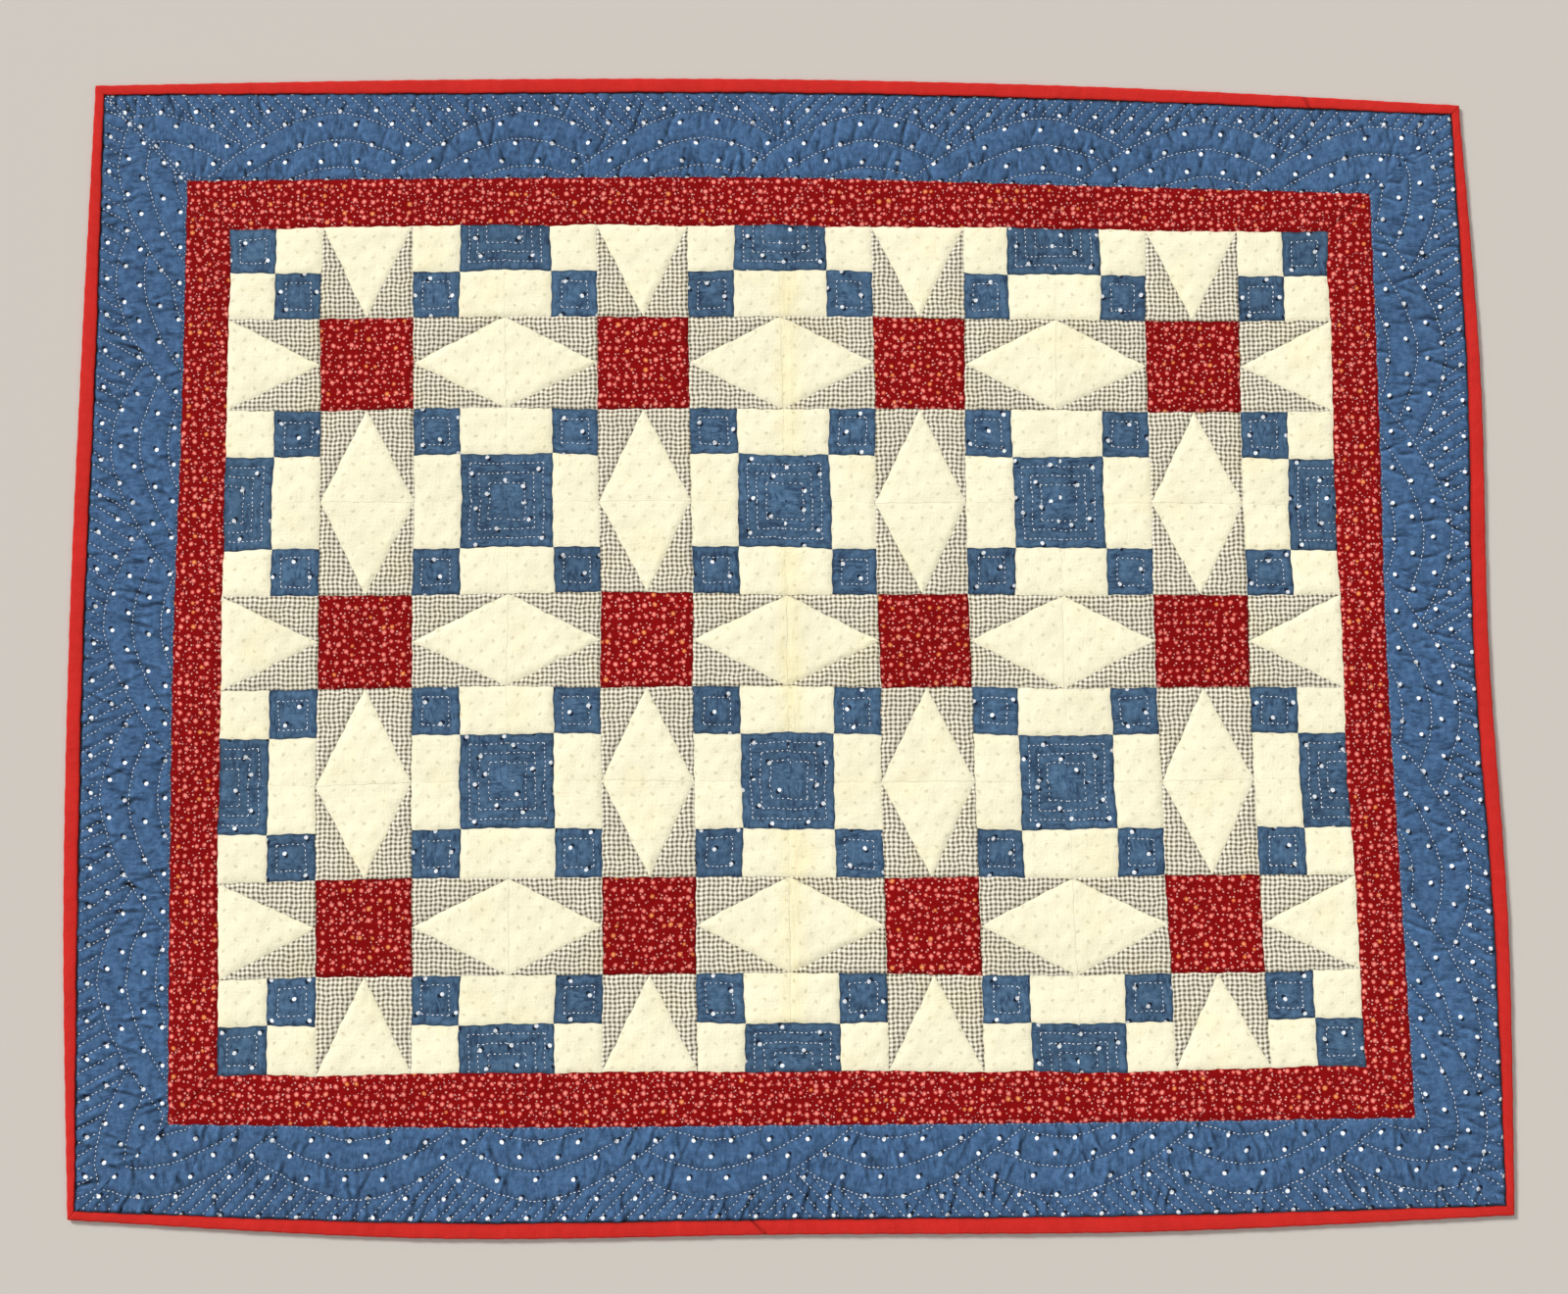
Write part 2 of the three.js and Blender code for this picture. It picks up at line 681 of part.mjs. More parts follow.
function makeBinding(sideIndex) {
  const side = sides[sideIndex];
  const sheet = new Sheet();
  const outward = outwardOf(side);
  const count = sideIndex % 2 === 0 ? unitsAcross : unitsDown;
  const edge = rowOf(sideIndex, 'edge', count, mitreGap, 0);
  const seam = rowOf(sideIndex, 'bindingSeam', count, mitreGap, 0);
  const sections = edge.map((place, i) => {
    const width = place.dot(outward) - seam[i].dot(outward);
    return bindingProfile(width).map(([inset, height]) => {
      const spot = place.clone().lerp(seam[i], inset / width);
      return sheet.vertex(spot, height);
    });
  });
  for (let i = 0; i < count; i += 1) sheet.band(sections[i + 1], sections[i], true);
  const ends = [sections[0], sections[count]];
  const flatProfile = bindingProfile(bindingWidth).map((spot) => new THREE.Vector2(...spot));
  THREE.ShapeUtils.triangulateShape(flatProfile, []).forEach(([a, b, c]) => {
    sheet.face(ends[0][a], ends[0][b], ends[0][c]);
    sheet.face(ends[1][c], ends[1][b], ends[1][a]);
  });
  return sheet.mesh(`binding_${side.name}`, clothColours.binding);
}

// The quilt

const quilt = new THREE.Group();
quilt.add(makePiecedCentre());
sides.forEach((side, index) => {
  quilt.add(makeInnerBorder(index));
  quilt.add(makeOuterBorder(index));
  quilt.add(makeBinding(index));
});

export default quilt;
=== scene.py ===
# Crib quilt lying flat, seen from above: pieced centre, narrow and wide printed borders,
# hand quilting and a folded binding. Lengths are metres, +X along the long side, +Y to the
# top edge, +Z up out of the pieced face, and the quilt lies on z = 0.

import math
import random

import bmesh
import bpy
import numpy as np
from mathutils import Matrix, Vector
from mathutils.bvhtree import BVHTree
from mathutils.kdtree import KDTree


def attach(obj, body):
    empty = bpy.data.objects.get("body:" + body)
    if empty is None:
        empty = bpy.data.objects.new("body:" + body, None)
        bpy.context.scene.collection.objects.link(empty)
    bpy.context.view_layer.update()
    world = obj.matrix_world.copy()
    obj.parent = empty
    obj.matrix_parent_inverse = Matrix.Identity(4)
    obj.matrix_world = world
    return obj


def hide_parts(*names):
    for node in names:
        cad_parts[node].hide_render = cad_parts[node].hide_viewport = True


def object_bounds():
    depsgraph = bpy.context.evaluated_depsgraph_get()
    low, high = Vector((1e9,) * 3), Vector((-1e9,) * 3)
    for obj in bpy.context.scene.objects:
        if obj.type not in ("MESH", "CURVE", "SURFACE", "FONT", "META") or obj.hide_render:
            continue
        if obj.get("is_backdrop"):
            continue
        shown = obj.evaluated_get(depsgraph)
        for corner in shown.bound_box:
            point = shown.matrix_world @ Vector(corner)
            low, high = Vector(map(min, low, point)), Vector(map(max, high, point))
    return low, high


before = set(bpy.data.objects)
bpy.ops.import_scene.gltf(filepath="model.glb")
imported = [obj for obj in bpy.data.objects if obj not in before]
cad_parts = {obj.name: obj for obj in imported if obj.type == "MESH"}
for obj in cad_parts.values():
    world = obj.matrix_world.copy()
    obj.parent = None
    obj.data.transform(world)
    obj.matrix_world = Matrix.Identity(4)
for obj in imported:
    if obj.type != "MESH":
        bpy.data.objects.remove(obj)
cad_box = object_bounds()
mm = 0.001

# Camera
# It stands above the quilt, a little below its middle, with the whole quilt in view, so that
# the lower edge is slightly nearer and wider than the upper one.
camera = bpy.data.objects.new("camera", bpy.data.cameras.new("camera"))
camera.data.lens = 50
camera.data.sensor_width = 36
camera.location = (-0.18 * mm, -160.45 * mm, 1476.39 * mm)
camera.rotation_euler = (math.radians(6.0548), 0, math.radians(-0.377))
bpy.context.scene.collection.objects.link(camera)
bpy.context.scene.camera = camera
bpy.context.scene.view_settings.view_transform = "Standard"

# Cream patches
# Squares and diamond halves of cream quilting cotton with a faint staggered sprig. They are
# cut by hand on a grid of one unit, sewn with pressed seams and puffed up by thin wadding.
unit = 31.75 * mm
units_in_block = 6
blocks_across = 4
blocks_down = 3
units_across = blocks_across * units_in_block
units_down = blocks_down * units_in_block
hand_cut = 1 * mm
seam_height = 2.7 * mm
puff_height = 3.4 * mm
usual_height = 3.2 * mm
painted_shade_depth = 3.2 * mm
patch_underside = 0.9 * mm
seam_gap = 0.03 * mm
block_seam_relief = 4 * mm
seam_shade = 0.4
grid_step = 2.2 * mm
least_steps = 8
outline_middle = np.array([-1.881, 0.288]) * mm
whole_centre = "pieced_centre"

# Quilted cloth is a little uneven: it is pressed over the seam allowances, puckers beside
# the seams, and is tugged down beside the stitches
allowance_width = 6.5 * mm
pucker_height = 0.11 * mm
pucker_place = 2.5 * mm
tug_height = 0.2 * mm
tug_place = 2.2 * mm
tug_reach = 2 * mm
fold_place = 1.5 * mm
fold_depth = 0.14 * mm
fold_ridge_aside = 3.5 * mm

# How far the pattern of each patch is shifted on the bolt of cloth, and a distance in metres
# that is far from every stitched line
bolt_reach = 200 * mm
unquilted = 1.0

# The block corners lie a little off their even places: millimetres to the right and up,
# one row for each line of block corners from the top, columns from left to right
corner_right = np.array([
    [-2.6, -2.4, -2.4, -2.5, -3.0],
    [-2.5, 0.7, 0.1, -2.6, -3.8],
    [-2.5, 1.9, 1.4, -0.3, -1.5],
    [0.6, 3.5, 2.8, 4.2, 4.2],
]) * mm
corner_up = np.array([
    [5.0, 6.0, 5.2, 1.0, -2.0],
    [1.5, 3.3, 1.1, -1.1, -3.4],
    [-1.5, 1.8, 0.8, -1.4, -0.6],
    [-3.4, -2.6, -3.0, -4.2, -1.6],
]) * mm


def wobble(first, second, seed):
    """A number from -1 to 1 that is always the same for the same place."""
    wave = math.sin(first * 12.9898 + second * 78.233 + seed * 37.719) * 43758.5453
    return 2 * (wave - math.floor(wave)) - 1


def blended(table, across, down):
    """The value of a table of block corners at a place counted in units."""
    column = min(int(across // units_in_block), blocks_across - 1)
    row = min(int(down // units_in_block), blocks_down - 1)
    right = across / units_in_block - column
    low = down / units_in_block - row
    upper = table[row, column] * (1 - right) + table[row, column + 1] * right
    lower = table[row + 1, column] * (1 - right) + table[row + 1, column + 1] * right
    return upper * (1 - low) + lower * low


def junction(across, down):
    """A corner of the patches, counted in units from the top left of the patchwork. Seams
    that only pass a junction run straight through it."""
    right, low = across % units_in_block, down % units_in_block
    if right == 3 or (right in (1, 5) and low in (2, 4)):
        return (junction(across - 1, down) + junction(across + 1, down)) / 2
    if low == 3 or (right in (2, 4) and low in (1, 5)):
        return (junction(across, down - 1) + junction(across, down + 1)) / 2
    x = (across - units_across / 2) * unit + blended(corner_right, across, down)
    y = (units_down / 2 - down) * unit + blended(corner_up, across, down)
    return np.array([x + hand_cut * wobble(across, down, 1), y + hand_cut * wobble(across, down, 2)])


def quarter_turned(spot, turns):
    """A spot of a block after so many quarter turns round the middle of the block."""
    for _ in range(turns):
        spot = (units_in_block - spot[1], spot[0])
    return spot


def on_block_seam(start, end):
    """Whether an edge lies on a seam between two blocks, where cloth meets the same cloth."""
    for axis, count in enumerate((units_across, units_down)):
        if start[axis] == end[axis] and start[axis] % units_in_block == 0 and 0 < start[axis] < count:
            return True
    return False


def patches_of(loops, quarters=4):
    """Corners of every patch of one cloth in the twelve blocks, each block's loops turned
    round its middle, with the edges that are block seams. A triangle has its tip twice."""
    for row in range(blocks_down):
        for column in range(blocks_across):
            for turns in range(quarters):
                for loop in loops:
                    turned = [quarter_turned(spot, turns) for spot in loop]
                    spots = [(column * units_in_block + a, row * units_in_block + d) for a, d in turned]
                    faint = [on_block_seam(*ends) for ends in zip(spots, spots[1:] + spots[:1])]
                    yield np.array([junction(*spot) for spot in spots]), turns, faint


def smooth_step(value, start, end):
    """0 before start and 1 after end, with a smooth rise between them."""
    share = np.clip((value - start) / (end - start), 0, 1)
    return share * share * (3 - 2 * share)


# Small folds that cross in washed cloth: length in millimetres, direction in radians and
# height in millimetres
small_folds = ((24, 0.5, 0.13), (17, 1.9, 0.11), (12, 2.7, 0.08), (8.5, 1.1, 0.05))


def wrinkles(points):
    """The uneven lie of washed and quilted cotton: broad swells and crossed small folds."""
    x, y = points[:, 0] / mm, points[:, 1] / mm
    height = 0.16 * np.sin(x / 61 + 1.3) * np.sin(y / 47 + 0.4) + 0.09 * np.sin(x / 23 - y / 31)
    for length, direction, rise in small_folds:
        along = x * math.cos(direction) + y * math.sin(direction)
        beside = y * math.cos(direction) - x * math.sin(direction)
        bend = 1.7 * np.sin(beside / (1.9 * length)) + 1.1 * np.sin(along / (3.1 * length))
        height = height + rise * np.sin(2 * np.pi * along / length + bend)
    return height * mm


def fold_crease(points):
    """A broken valley and ridge down the middle, where the quilt was once folded in half."""
    along = points[:, 1]
    strayed = 0.8 * mm * np.sin(along / (41 * mm)) + 0.6 * mm * np.sin(along / (9 * mm))
    aside = points[:, 0] - fold_place - strayed
    ridge = np.exp(-(((aside - fold_ridge_aside) / (1.8 * mm)) ** 2))
    valley = np.exp(-((aside / (1.5 * mm)) ** 2))
    return fold_depth * (0.55 + 0.45 * np.sin(along / (13 * mm))) * (ridge - valley)


def settled(flat, sway=1.0):
    """Places of the cloth as it lies: every seam sways a little, as sewing by hand leaves
    it, and the middle of the whole outline is the origin."""
    x, y = flat[:, 0] / mm, flat[:, 1] / mm
    right = 0.24 * np.sin(y / 1.9 + 1.5 * np.sin(x / 17)) + 0.22 * np.sin(y / 4.7 + x / 29)
    up = 0.24 * np.sin(x / 1.8 + 1.5 * np.sin(y / 19)) + 0.22 * np.sin(x / 4.3 - y / 31)
    return flat + np.column_stack([right, up]) * sway * mm - outline_middle


def edge_gaps(points, corners, faint):
    """For each point its distance to the nearest edge of a patch, and how far along it. The
    faint edges count as further away, so that the cloth dips only a little there."""
    best = np.full(len(points), np.inf)
    run_along = np.zeros(len(points))
    walked = 0.0
    for start, end, is_faint in zip(corners, np.roll(corners, -1, axis=0), faint):
        length = np.linalg.norm(end - start)
        if length < seam_gap:
            continue
        way = (end - start) / length
        share = np.clip((points - start) @ way, 0, length)
        gap = np.linalg.norm(points - start - share[:, None] * way, axis=1) + is_faint * block_seam_relief
        nearer = gap < best
        best[nearer] = gap[nearer]
        run_along[nearer] = walked + share[nearer]
        walked += length
    return best, run_along


def gathers(run, pitch, drift):
    """Small gathers along a seam, from -1 to 1, with a pitch that drifts."""
    return np.sin(run / pitch + 2 * np.sin(run / drift))


def puffed(points, seams, stitching, roll, allowance, sunk=1.2 * mm, reach=3 * mm):
    """Height of quilted cloth: low at its seams and stitches, which also pucker it, and
    raised a little over a seam allowance that is pressed under it. seams and stitching are
    each the distance to the nearest one and the distance run along it. The cloth is sunk so
    deep at a stitched line, over that reach to both sides."""
    seam_away, seam_run = seams
    stitch_away, stitch_run = stitching
    filled = puff_height - sunk * np.exp(-((stitch_away / reach) ** 1.3))
    pressed = allowance * (1 - smooth_step(seam_away, allowance_width - mm, allowance_width + mm))
    rise = (filled + pressed - seam_height) * (1 - np.exp(-seam_away / roll))
    beside_seam = np.exp(-((seam_away - pucker_place) / pucker_place) ** 2)
    pucker = pucker_height * gathers(seam_run, 1.25 * mm, 7 * mm) * beside_seam
    beside_stitches = np.exp(-((stitch_away - tug_place) / tug_reach) ** 2)
    tug = tug_height * gathers(stitch_run, 1.1 * mm, 6 * mm) * beside_stitches
    loose = smooth_step(seam_away, 0, 4 * mm)
    return seam_height + rise + pucker + tug + loose * wrinkles(points) + fold_crease(points)


def tone_with_painted_shade(tone, height):
    """The tone of cloth from 0, dark, to 1, pale: the given tone with painted light and shade,
    paler where the cloth stands up and darker in its low seams, creases and stitched lines."""
    return np.clip(tone + (height - usual_height) / painted_shade_depth, 0, 1)


def stretch_cloth(bm, segments, place):
    """Adds a grid of cloth; place turns shares across and along it into points and threads."""
    made = bmesh.ops.create_grid(bm, x_segments=segments[0], y_segments=segments[1], size=0.5)["verts"]
    shares = np.array([vert.co.xy for vert in made]) + 0.5
    points, threads = place(shares)
    layer = bm.verts.layers.float_vector["threads"]
    for vert, point, thread in zip(made, points, threads):
        vert.co = point
        vert[layer] = thread


def between_corners(shares, corners):
    """Places at shares across and along a quadrilateral with those four corners."""
    across, along = shares[:, :1], shares[:, 1:]
    near = corners[0] * (1 - across) + corners[1] * across
    far = corners[3] * (1 - across) + corners[2] * across
    return near * (1 - along) + far * along


def add_patch(bm, corners, faint, grain, chance, roll, allowance, stitches=None):
    """One patch: cloth stretched between its corners, cut a little inside the seam lines.
    grain is the direction of its threads, and stitches gives the quilting on it."""
    widths = [np.linalg.norm(corners[1] - corners[0]), np.linalg.norm(corners[2] - corners[3])]
    lengths = [np.linalg.norm(corners[3] - corners[0]), np.linalg.norm(corners[2] - corners[1])]
    narrow = 0.85 if min(widths) < seam_gap else 1
    wanted = (narrow * max(widths) / grid_step, max(lengths) / grid_step)
    segments = [max(least_steps, round(count)) for count in wanted]
    centre = corners.mean(axis=0)
    shift = np.array([chance.uniform(-1, 1), chance.uniform(-1, 1)]) * bolt_reach
    tone = chance.uniform(0.4, 0.6)
    turn = np.array([[math.cos(grain), math.sin(grain)], [-math.sin(grain), math.cos(grain)]])

    def place(shares):
        flat = between_corners(shares, corners)
        seams = edge_gaps(flat, corners, faint)
        stitching = stitches(flat) if stitches else (np.full(len(flat), unquilted), seams[1])
        height = puffed(flat, seams, stitching, roll, allowance)
        inset = flat + (centre - flat) * seam_gap / (unit / 2)
        threads = (flat - centre) @ turn.T + shift
        points = np.column_stack([settled(inset), height])
        # Painted light and shade: paler where the patch stands up, darker in its low places and darkest right
        # at its seams.
        shaded = tone_with_painted_shade(tone, height) - seam_shade * np.exp(-seams[0] / mm)
        return points, np.column_stack([threads, shaded])

    stretch_cloth(bm, segments, place)


def close_underneath(bm, underside):
    """Gives cloth its thickness: walls down from its edges and a flat side underneath."""
    bmesh.ops.remove_doubles(bm, verts=bm.verts, dist=0.001 * mm)
    rim = [edge for edge in bm.edges if edge.is_boundary]
    for face in bm.faces:
        face.smooth = True
    for edge in rim:
        edge.smooth = False
    for element in bmesh.ops.extrude_edge_only(bm, edges=rim)["geom"]:
        if isinstance(element, bmesh.types.BMVert):
            element.co.z = underside
    bmesh.ops.holes_fill(bm, edges=[edge for edge in bm.edges if edge.is_boundary], sides=0)
    bmesh.ops.recalc_face_normals(bm, faces=bm.faces)


def new_cloth():
    """An empty mesh whose points will carry their place on the threads, and a tone with painted shade."""
    bm = bmesh.new()
    bm.verts.layers.float_vector.new("threads")
    return bm


def add_piece(name, bm, material, nodes):
    """Makes the finished mesh one piece of the quilt in place of its plain solids."""
    mesh = bpy.data.meshes.new(name)
    bm.to_mesh(mesh)
    mesh.materials.append(material)
    piece = bpy.data.objects.new(name, mesh)
    bpy.context.scene.collection.objects.link(piece)
    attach(piece, "root")
    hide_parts(*nodes)
    return piece


def hex_colour(code):
    """An sRGB hex colour as linear red, green, blue and full alpha."""
    parts = [int(code[i:i + 2], 16) / 255 for i in (1, 3, 5)]
    linear = [part / 12.92 if part <= 0.04045 else ((part + 0.055) / 1.055) ** 2.4 for part in parts]
    return (*linear, 1)


def add_node(material, kind, settings, inputs):
    """Adds a shader node with its settings, and values or links for its inputs."""
    node = material.node_tree.nodes.new("ShaderNode" + kind)
    for name, value in settings.items():
        setattr(node, name, value)
    for name, value in inputs.items():
        if isinstance(value, bpy.types.NodeSocket):
            material.node_tree.links.new(value, node.inputs[name])
        else:
            node.inputs[name].default_value = value
    return node.outputs


def start_cotton(name):
    """A new material with the places of its threads, flat, and the cloth's tone with painted shade."""
    material = bpy.data.materials.new(name)
    material.use_nodes = True
    threads = add_node(material, "Attribute", {"attribute_name": "threads"}, {})["Vector"]
    flat = add_node(material, "VectorMath", {"operation": "MULTIPLY"}, {0: threads, 1: (1, 1, 0)})[0]
    tone = add_node(material, "SeparateXYZ", {}, {0: threads})["Z"]
    return material, flat, tone


def mark_gap(material, flat, repeat, marks):
    """How far the cloth is outside the nearest printed mark, in metres. marks are places
    and radii in one repeat of the print, which is repeated over the whole cloth."""
    half = (repeat[0] / 2, repeat[1] / 2, 1)
    nearest = None
    for right, up, radius in marks:
        moved = add_node(material, "VectorMath", {"operation": "SUBTRACT"}, {0: flat, 1: (right, up, 0)})[0]
        limits = {0: moved, 1: half, 2: tuple(-side for side in half)}
        wrapped = add_node(material, "VectorMath", {"operation": "WRAP"}, limits)[0]
        reach = add_node(material, "VectorMath", {"operation": "LENGTH"}, {0: wrapped})["Value"]
        gap = add_node(material, "Math", {"operation": "SUBTRACT"}, {0: reach, 1: radius})[0]
        if nearest is not None:
            gap = add_node(material, "Math", {"operation": "MINIMUM"}, {0: nearest, 1: gap})[0]
        nearest = gap
    return nearest


def printed(material, gap, soft, start=0.0):
    """1 inside a printed mark and 0 outside it, with an edge softened by the weave."""
    limits = {"Value": gap, "From Min": start - soft, "From Max": start + soft, "To Min": 1.0, "To Max": 0.0}
    return add_node(material, "MapRange", {"interpolation_type": "SMOOTHSTEP"}, limits)[0]


# Settings of a node that lays one colour over another as ink, or lets it through as a stain
as_ink = {"data_type": "RGBA"}
as_stain = {"data_type": "RGBA", "blend_type": "MULTIPLY"}


def noise_on(material, flat, size, detail=2.0, stretch=(1, 1, 1)):
    """Soft noise with blotches of one size in metres, stretched along the threads."""
    place = add_node(material, "VectorMath", {"operation": "MULTIPLY"}, {0: flat, 1: stretch})[0]
    return add_node(material, "TexNoise", {}, {"Vector": place, "Scale": 1 / size, "Detail": detail})[0]


def winding_lines(material, noise, soft, start=0.0):
    """1 along the winding lines where a noise crosses its middle, and 0 away from them."""
    level = add_node(material, "Math", {"operation": "SUBTRACT"}, {0: noise, 1: 0.5})[0]
    away = add_node(material, "Math", {"operation": "ABSOLUTE"}, {0: level})[0]
    return printed(material, away, soft, start)


def finish_cotton(material, flat, tone, colour, slub=0.05, creasing=0.5, fade_and_shade=0.07, sheen=0.1, gloss=0.2):
    """Washed plain-woven cotton: matt, with a little fuzz, threads of uneven thickness, small
    creases as deep as creasing says, and a tone of the given strength: dye faded by wear,
    unevenly from patch to patch, with painted light and shade from the lie of the cloth. The
    weave has 60 threads to the inch. Its thick and thin threads are drawn three threads wide,
    or they would be too fine to show."""
    thread_spacing = 0.42 * mm
    warp = noise_on(material, flat, 1.3 * mm, 1.0, (1, 0.12, 1))
    weft = noise_on(material, flat, 1.3 * mm, 1.0, (0.12, 1, 1))
    threads = add_node(material, "Math", {"operation": "ADD"}, {0: warp, 1: weft})[0]
    wear = noise_on(material, flat, 45 * mm, 3.0)
    shade = {"Value": threads, "From Min": 0.6, "From Max": 1.4, "To Min": 1 - slub, "To Max": 1 + slub}
    streaks = add_node(material, "MapRange", {}, shade)[0]
    worn = {"Value": wear, "From Min": 0.3, "From Max": 0.7, "To Min": 0.96, "To Max": 1.04}
    faded = add_node(material, "MapRange", {}, worn)[0]
    # The tone scales the dye: its fading from patch to patch and its painted light and shade from the lie of
    # the cloth.
    limits = {"Value": tone, "To Min": 1 - fade_and_shade, "To Max": 1 + fade_and_shade}
    patch = add_node(material, "MapRange", {"clamp": False}, limits)[0]
    level = add_node(material, "Math", {"operation": "MULTIPLY"}, {0: streaks, 1: faded})[0]
    level = add_node(material, "Math", {"operation": "MULTIPLY"}, {0: level, 1: patch})[0]
    tinted = add_node(material, "VectorMath", {"operation": "SCALE"}, {0: colour, "Scale": level})[0]

    across_threads = {0: flat, "Scale": math.pi / thread_spacing}
    turned = add_node(material, "VectorMath", {"operation": "SCALE"}, across_threads)[0]
    parts = add_node(material, "SeparateXYZ", {}, {0: turned})
    over = add_node(material, "Math", {"operation": "SINE"}, {0: parts["X"]})[0]
    under = add_node(material, "Math", {"operation": "SINE"}, {0: parts["Y"]})[0]
    weave = add_node(material, "Math", {"operation": "MULTIPLY"}, {0: over, 1: under})[0]
    woven = add_node(material, "Math", {"operation": "MULTIPLY_ADD"}, {0: weave, 1: 0.06, 2: threads})[0]
    swell = noise_on(material, flat, 7 * mm, 3.0)
    crease = winding_lines(material, noise_on(material, flat, 6 * mm, 2.0), 0.03, 0.03)
    lowered = {0: crease, 1: -creasing, 2: woven}
    dented = add_node(material, "Math", {"operation": "MULTIPLY_ADD"}, lowered)[0]
    relief = add_node(material, "Math", {"operation": "MULTIPLY_ADD"}, {0: swell, 1: 2.5, 2: dented})[0]
    bump = add_node(material, "Bump", {}, {"Strength": 0.8, "Distance": 0.16 * mm, "Height": relief})[0]

    shader = material.node_tree.nodes["Principled BSDF"]
    shader.inputs["Roughness"].default_value = 0.9
    shader.inputs["Specular IOR Level"].default_value = gloss
    shader.inputs["Sheen Weight"].default_value = sheen
    shader.inputs["Sheen Roughness"].default_value = 0.5
    material.node_tree.links.new(tinted, shader.inputs["Base Color"])
    material.node_tree.links.new(bump, shader.inputs["Normal"])
    return material


def yellowed_fold(material, colour):
    """The cloth's colour, yellowed along the old fold down the middle of the quilt."""
    place = add_node(material, "TexCoord", {}, {})["Object"]
    across = add_node(material, "SeparateXYZ", {}, {0: place})["X"]
    strayed = noise_on(material, place, 30 * mm)
    bent = add_node(material, "Math", {"operation": "MULTIPLY_ADD"}, {0: strayed, 1: 7 * mm, 2: across})[0]
    from_fold = {0: bent, 1: fold_place + 5.5 * mm - outline_middle[0]}
    beside = add_node(material, "Math", {"operation": "SUBTRACT"}, from_fold)[0]
    away = add_node(material, "Math", {"operation": "ABSOLUTE"}, {0: beside})[0]
    stain = printed(material, away, 8 * mm, 8 * mm)
    aged = add_node(material, "Mix", as_stain, {0: stain, 6: colour, 7: hex_colour("#fffdf3")})[2]
    line = winding_lines(material, noise_on(material, place, 3.5 * mm, 0.0, (1, 0.04, 1)), 0.06)
    folded = add_node(material, "Math", {"operation": "MULTIPLY"}, {0: line, 1: stain})[0]
    aged = add_node(material, "Mix", as_stain, {0: folded, 6: aged, 7: hex_colour("#f1ecda")})[2]
    patchy = noise_on(material, place, 38 * mm, 3.0)
    limits = {"Value": patchy, "From Min": 0.5, "From Max": 0.75, "To Max": 0.3}
    blotches = add_node(material, "MapRange", {}, limits)[0]
    return add_node(material, "Mix", as_stain, {0: blotches, 6: aged, 7: hex_colour("#fff7d6")})[2]


def make_cream_cotton():
    """Printed quilting cotton, cream with grey-beige sprigs of a few specks: the eye sees a
    plain warm cream first, and the faint regular sprigs only from close by."""
    material, flat, tone = start_cotton("cream quilting cotton")
    repeat = (13.5 * mm, 15 * mm)
    sprig = ((0, 0, 0.9), (0.7, 0.6, 0.6), (-0.7, -0.3, 0.6))
    marks = [(x * mm, y * mm, size * mm) for x, y, size in sprig]
    marks += [(repeat[0] / 2 - x, repeat[1] / 2 + y, size) for x, y, size in marks]
    sprigs = printed(material, mark_gap(material, flat, repeat, marks), 0.8 * mm)
    uneven_ink = noise_on(material, flat, 9 * mm)
    ink = add_node(material, "Math", {"operation": "MULTIPLY"}, {0: sprigs, 1: uneven_ink})[0]
    dyes = {0: ink, 6: hex_colour("#fff8d8"), 7: hex_colour("#ccc39d")}
    colour = add_node(material, "Mix", as_ink, dyes)[2]
    return finish_cotton(material, flat, tone, yellowed_fold(material, colour), slub=0.02, creasing=0.45)


cream_loops = [
    [(1, 0), (2, 0), (2, 1), (1, 1)],
    [(0, 1), (1, 1), (1, 2), (0, 2)],
    [(3, 2), (3, 2), (2, 0), (4, 0)],
]
cream_cotton = make_cream_cotton()
cream = new_cloth()
chance = random.Random(11)
for corners, turns, faint in patches_of(cream_loops):
    add_patch(cream, corners, faint, turns * math.pi / 2, chance, roll=2.2 * mm, allowance=0)
close_underneath(cream, patch_underside)
cream_patches = add_piece("cream_patches", cream, cream_cotton, [whole_centre])

# Gingham patches
# The slim points of the stars, in a fine brown and off-white gingham with its checks along
# the seams. Every point is a right triangle two units long and one wide.
def make_gingham():
    """Yarn-dyed gingham, 8 checks to the inch: darkest where two brown stripes cross."""
    material, flat, tone = start_cotton("brown gingham cotton")
    check = 3.2 * mm
    pulled = add_node(material, "TexNoise", {}, {"Vector": flat, "Scale": 1 / (11 * mm)})["Color"]
    bent = {0: pulled, 1: (2.2 * mm, 2.2 * mm, 0), 2: flat}
    woven = add_node(material, "VectorMath", {"operation": "MULTIPLY_ADD"}, bent)[0]
    across_checks = {0: woven, "Scale": 2 * math.pi / check}
    turned = add_node(material, "VectorMath", {"operation": "SCALE"}, across_checks)[0]
    parts = add_node(material, "SeparateXYZ", {}, {0: turned})
    stripes = []
    for way in ("X", "Y"):
        wave = add_node(material, "Math", {"operation": "SINE"}, {0: parts[way]})[0]
        stripes.append(printed(material, wave, 0.6))
    both = add_node(material, "Math", {"operation": "ADD"}, {0: stripes[0], 1: stripes[1]})[0]
    half = add_node(material, "Math", {"operation": "MULTIPLY"}, {0: both, 1: 0.5})[0]
    ramp = add_node(material, "ValToRGB", {}, {0: half})
    stops = ramp["Color"].node.color_ramp.elements
    stops[0].color = hex_colour("#fffae8")
    stops[1].color = hex_colour("#665d4a")
    stops.new(0.5).color = hex_colour("#cac1aa")
    return finish_cotton(material, flat, tone, yellowed_fold(material, ramp["Color"]), slub=0.02)


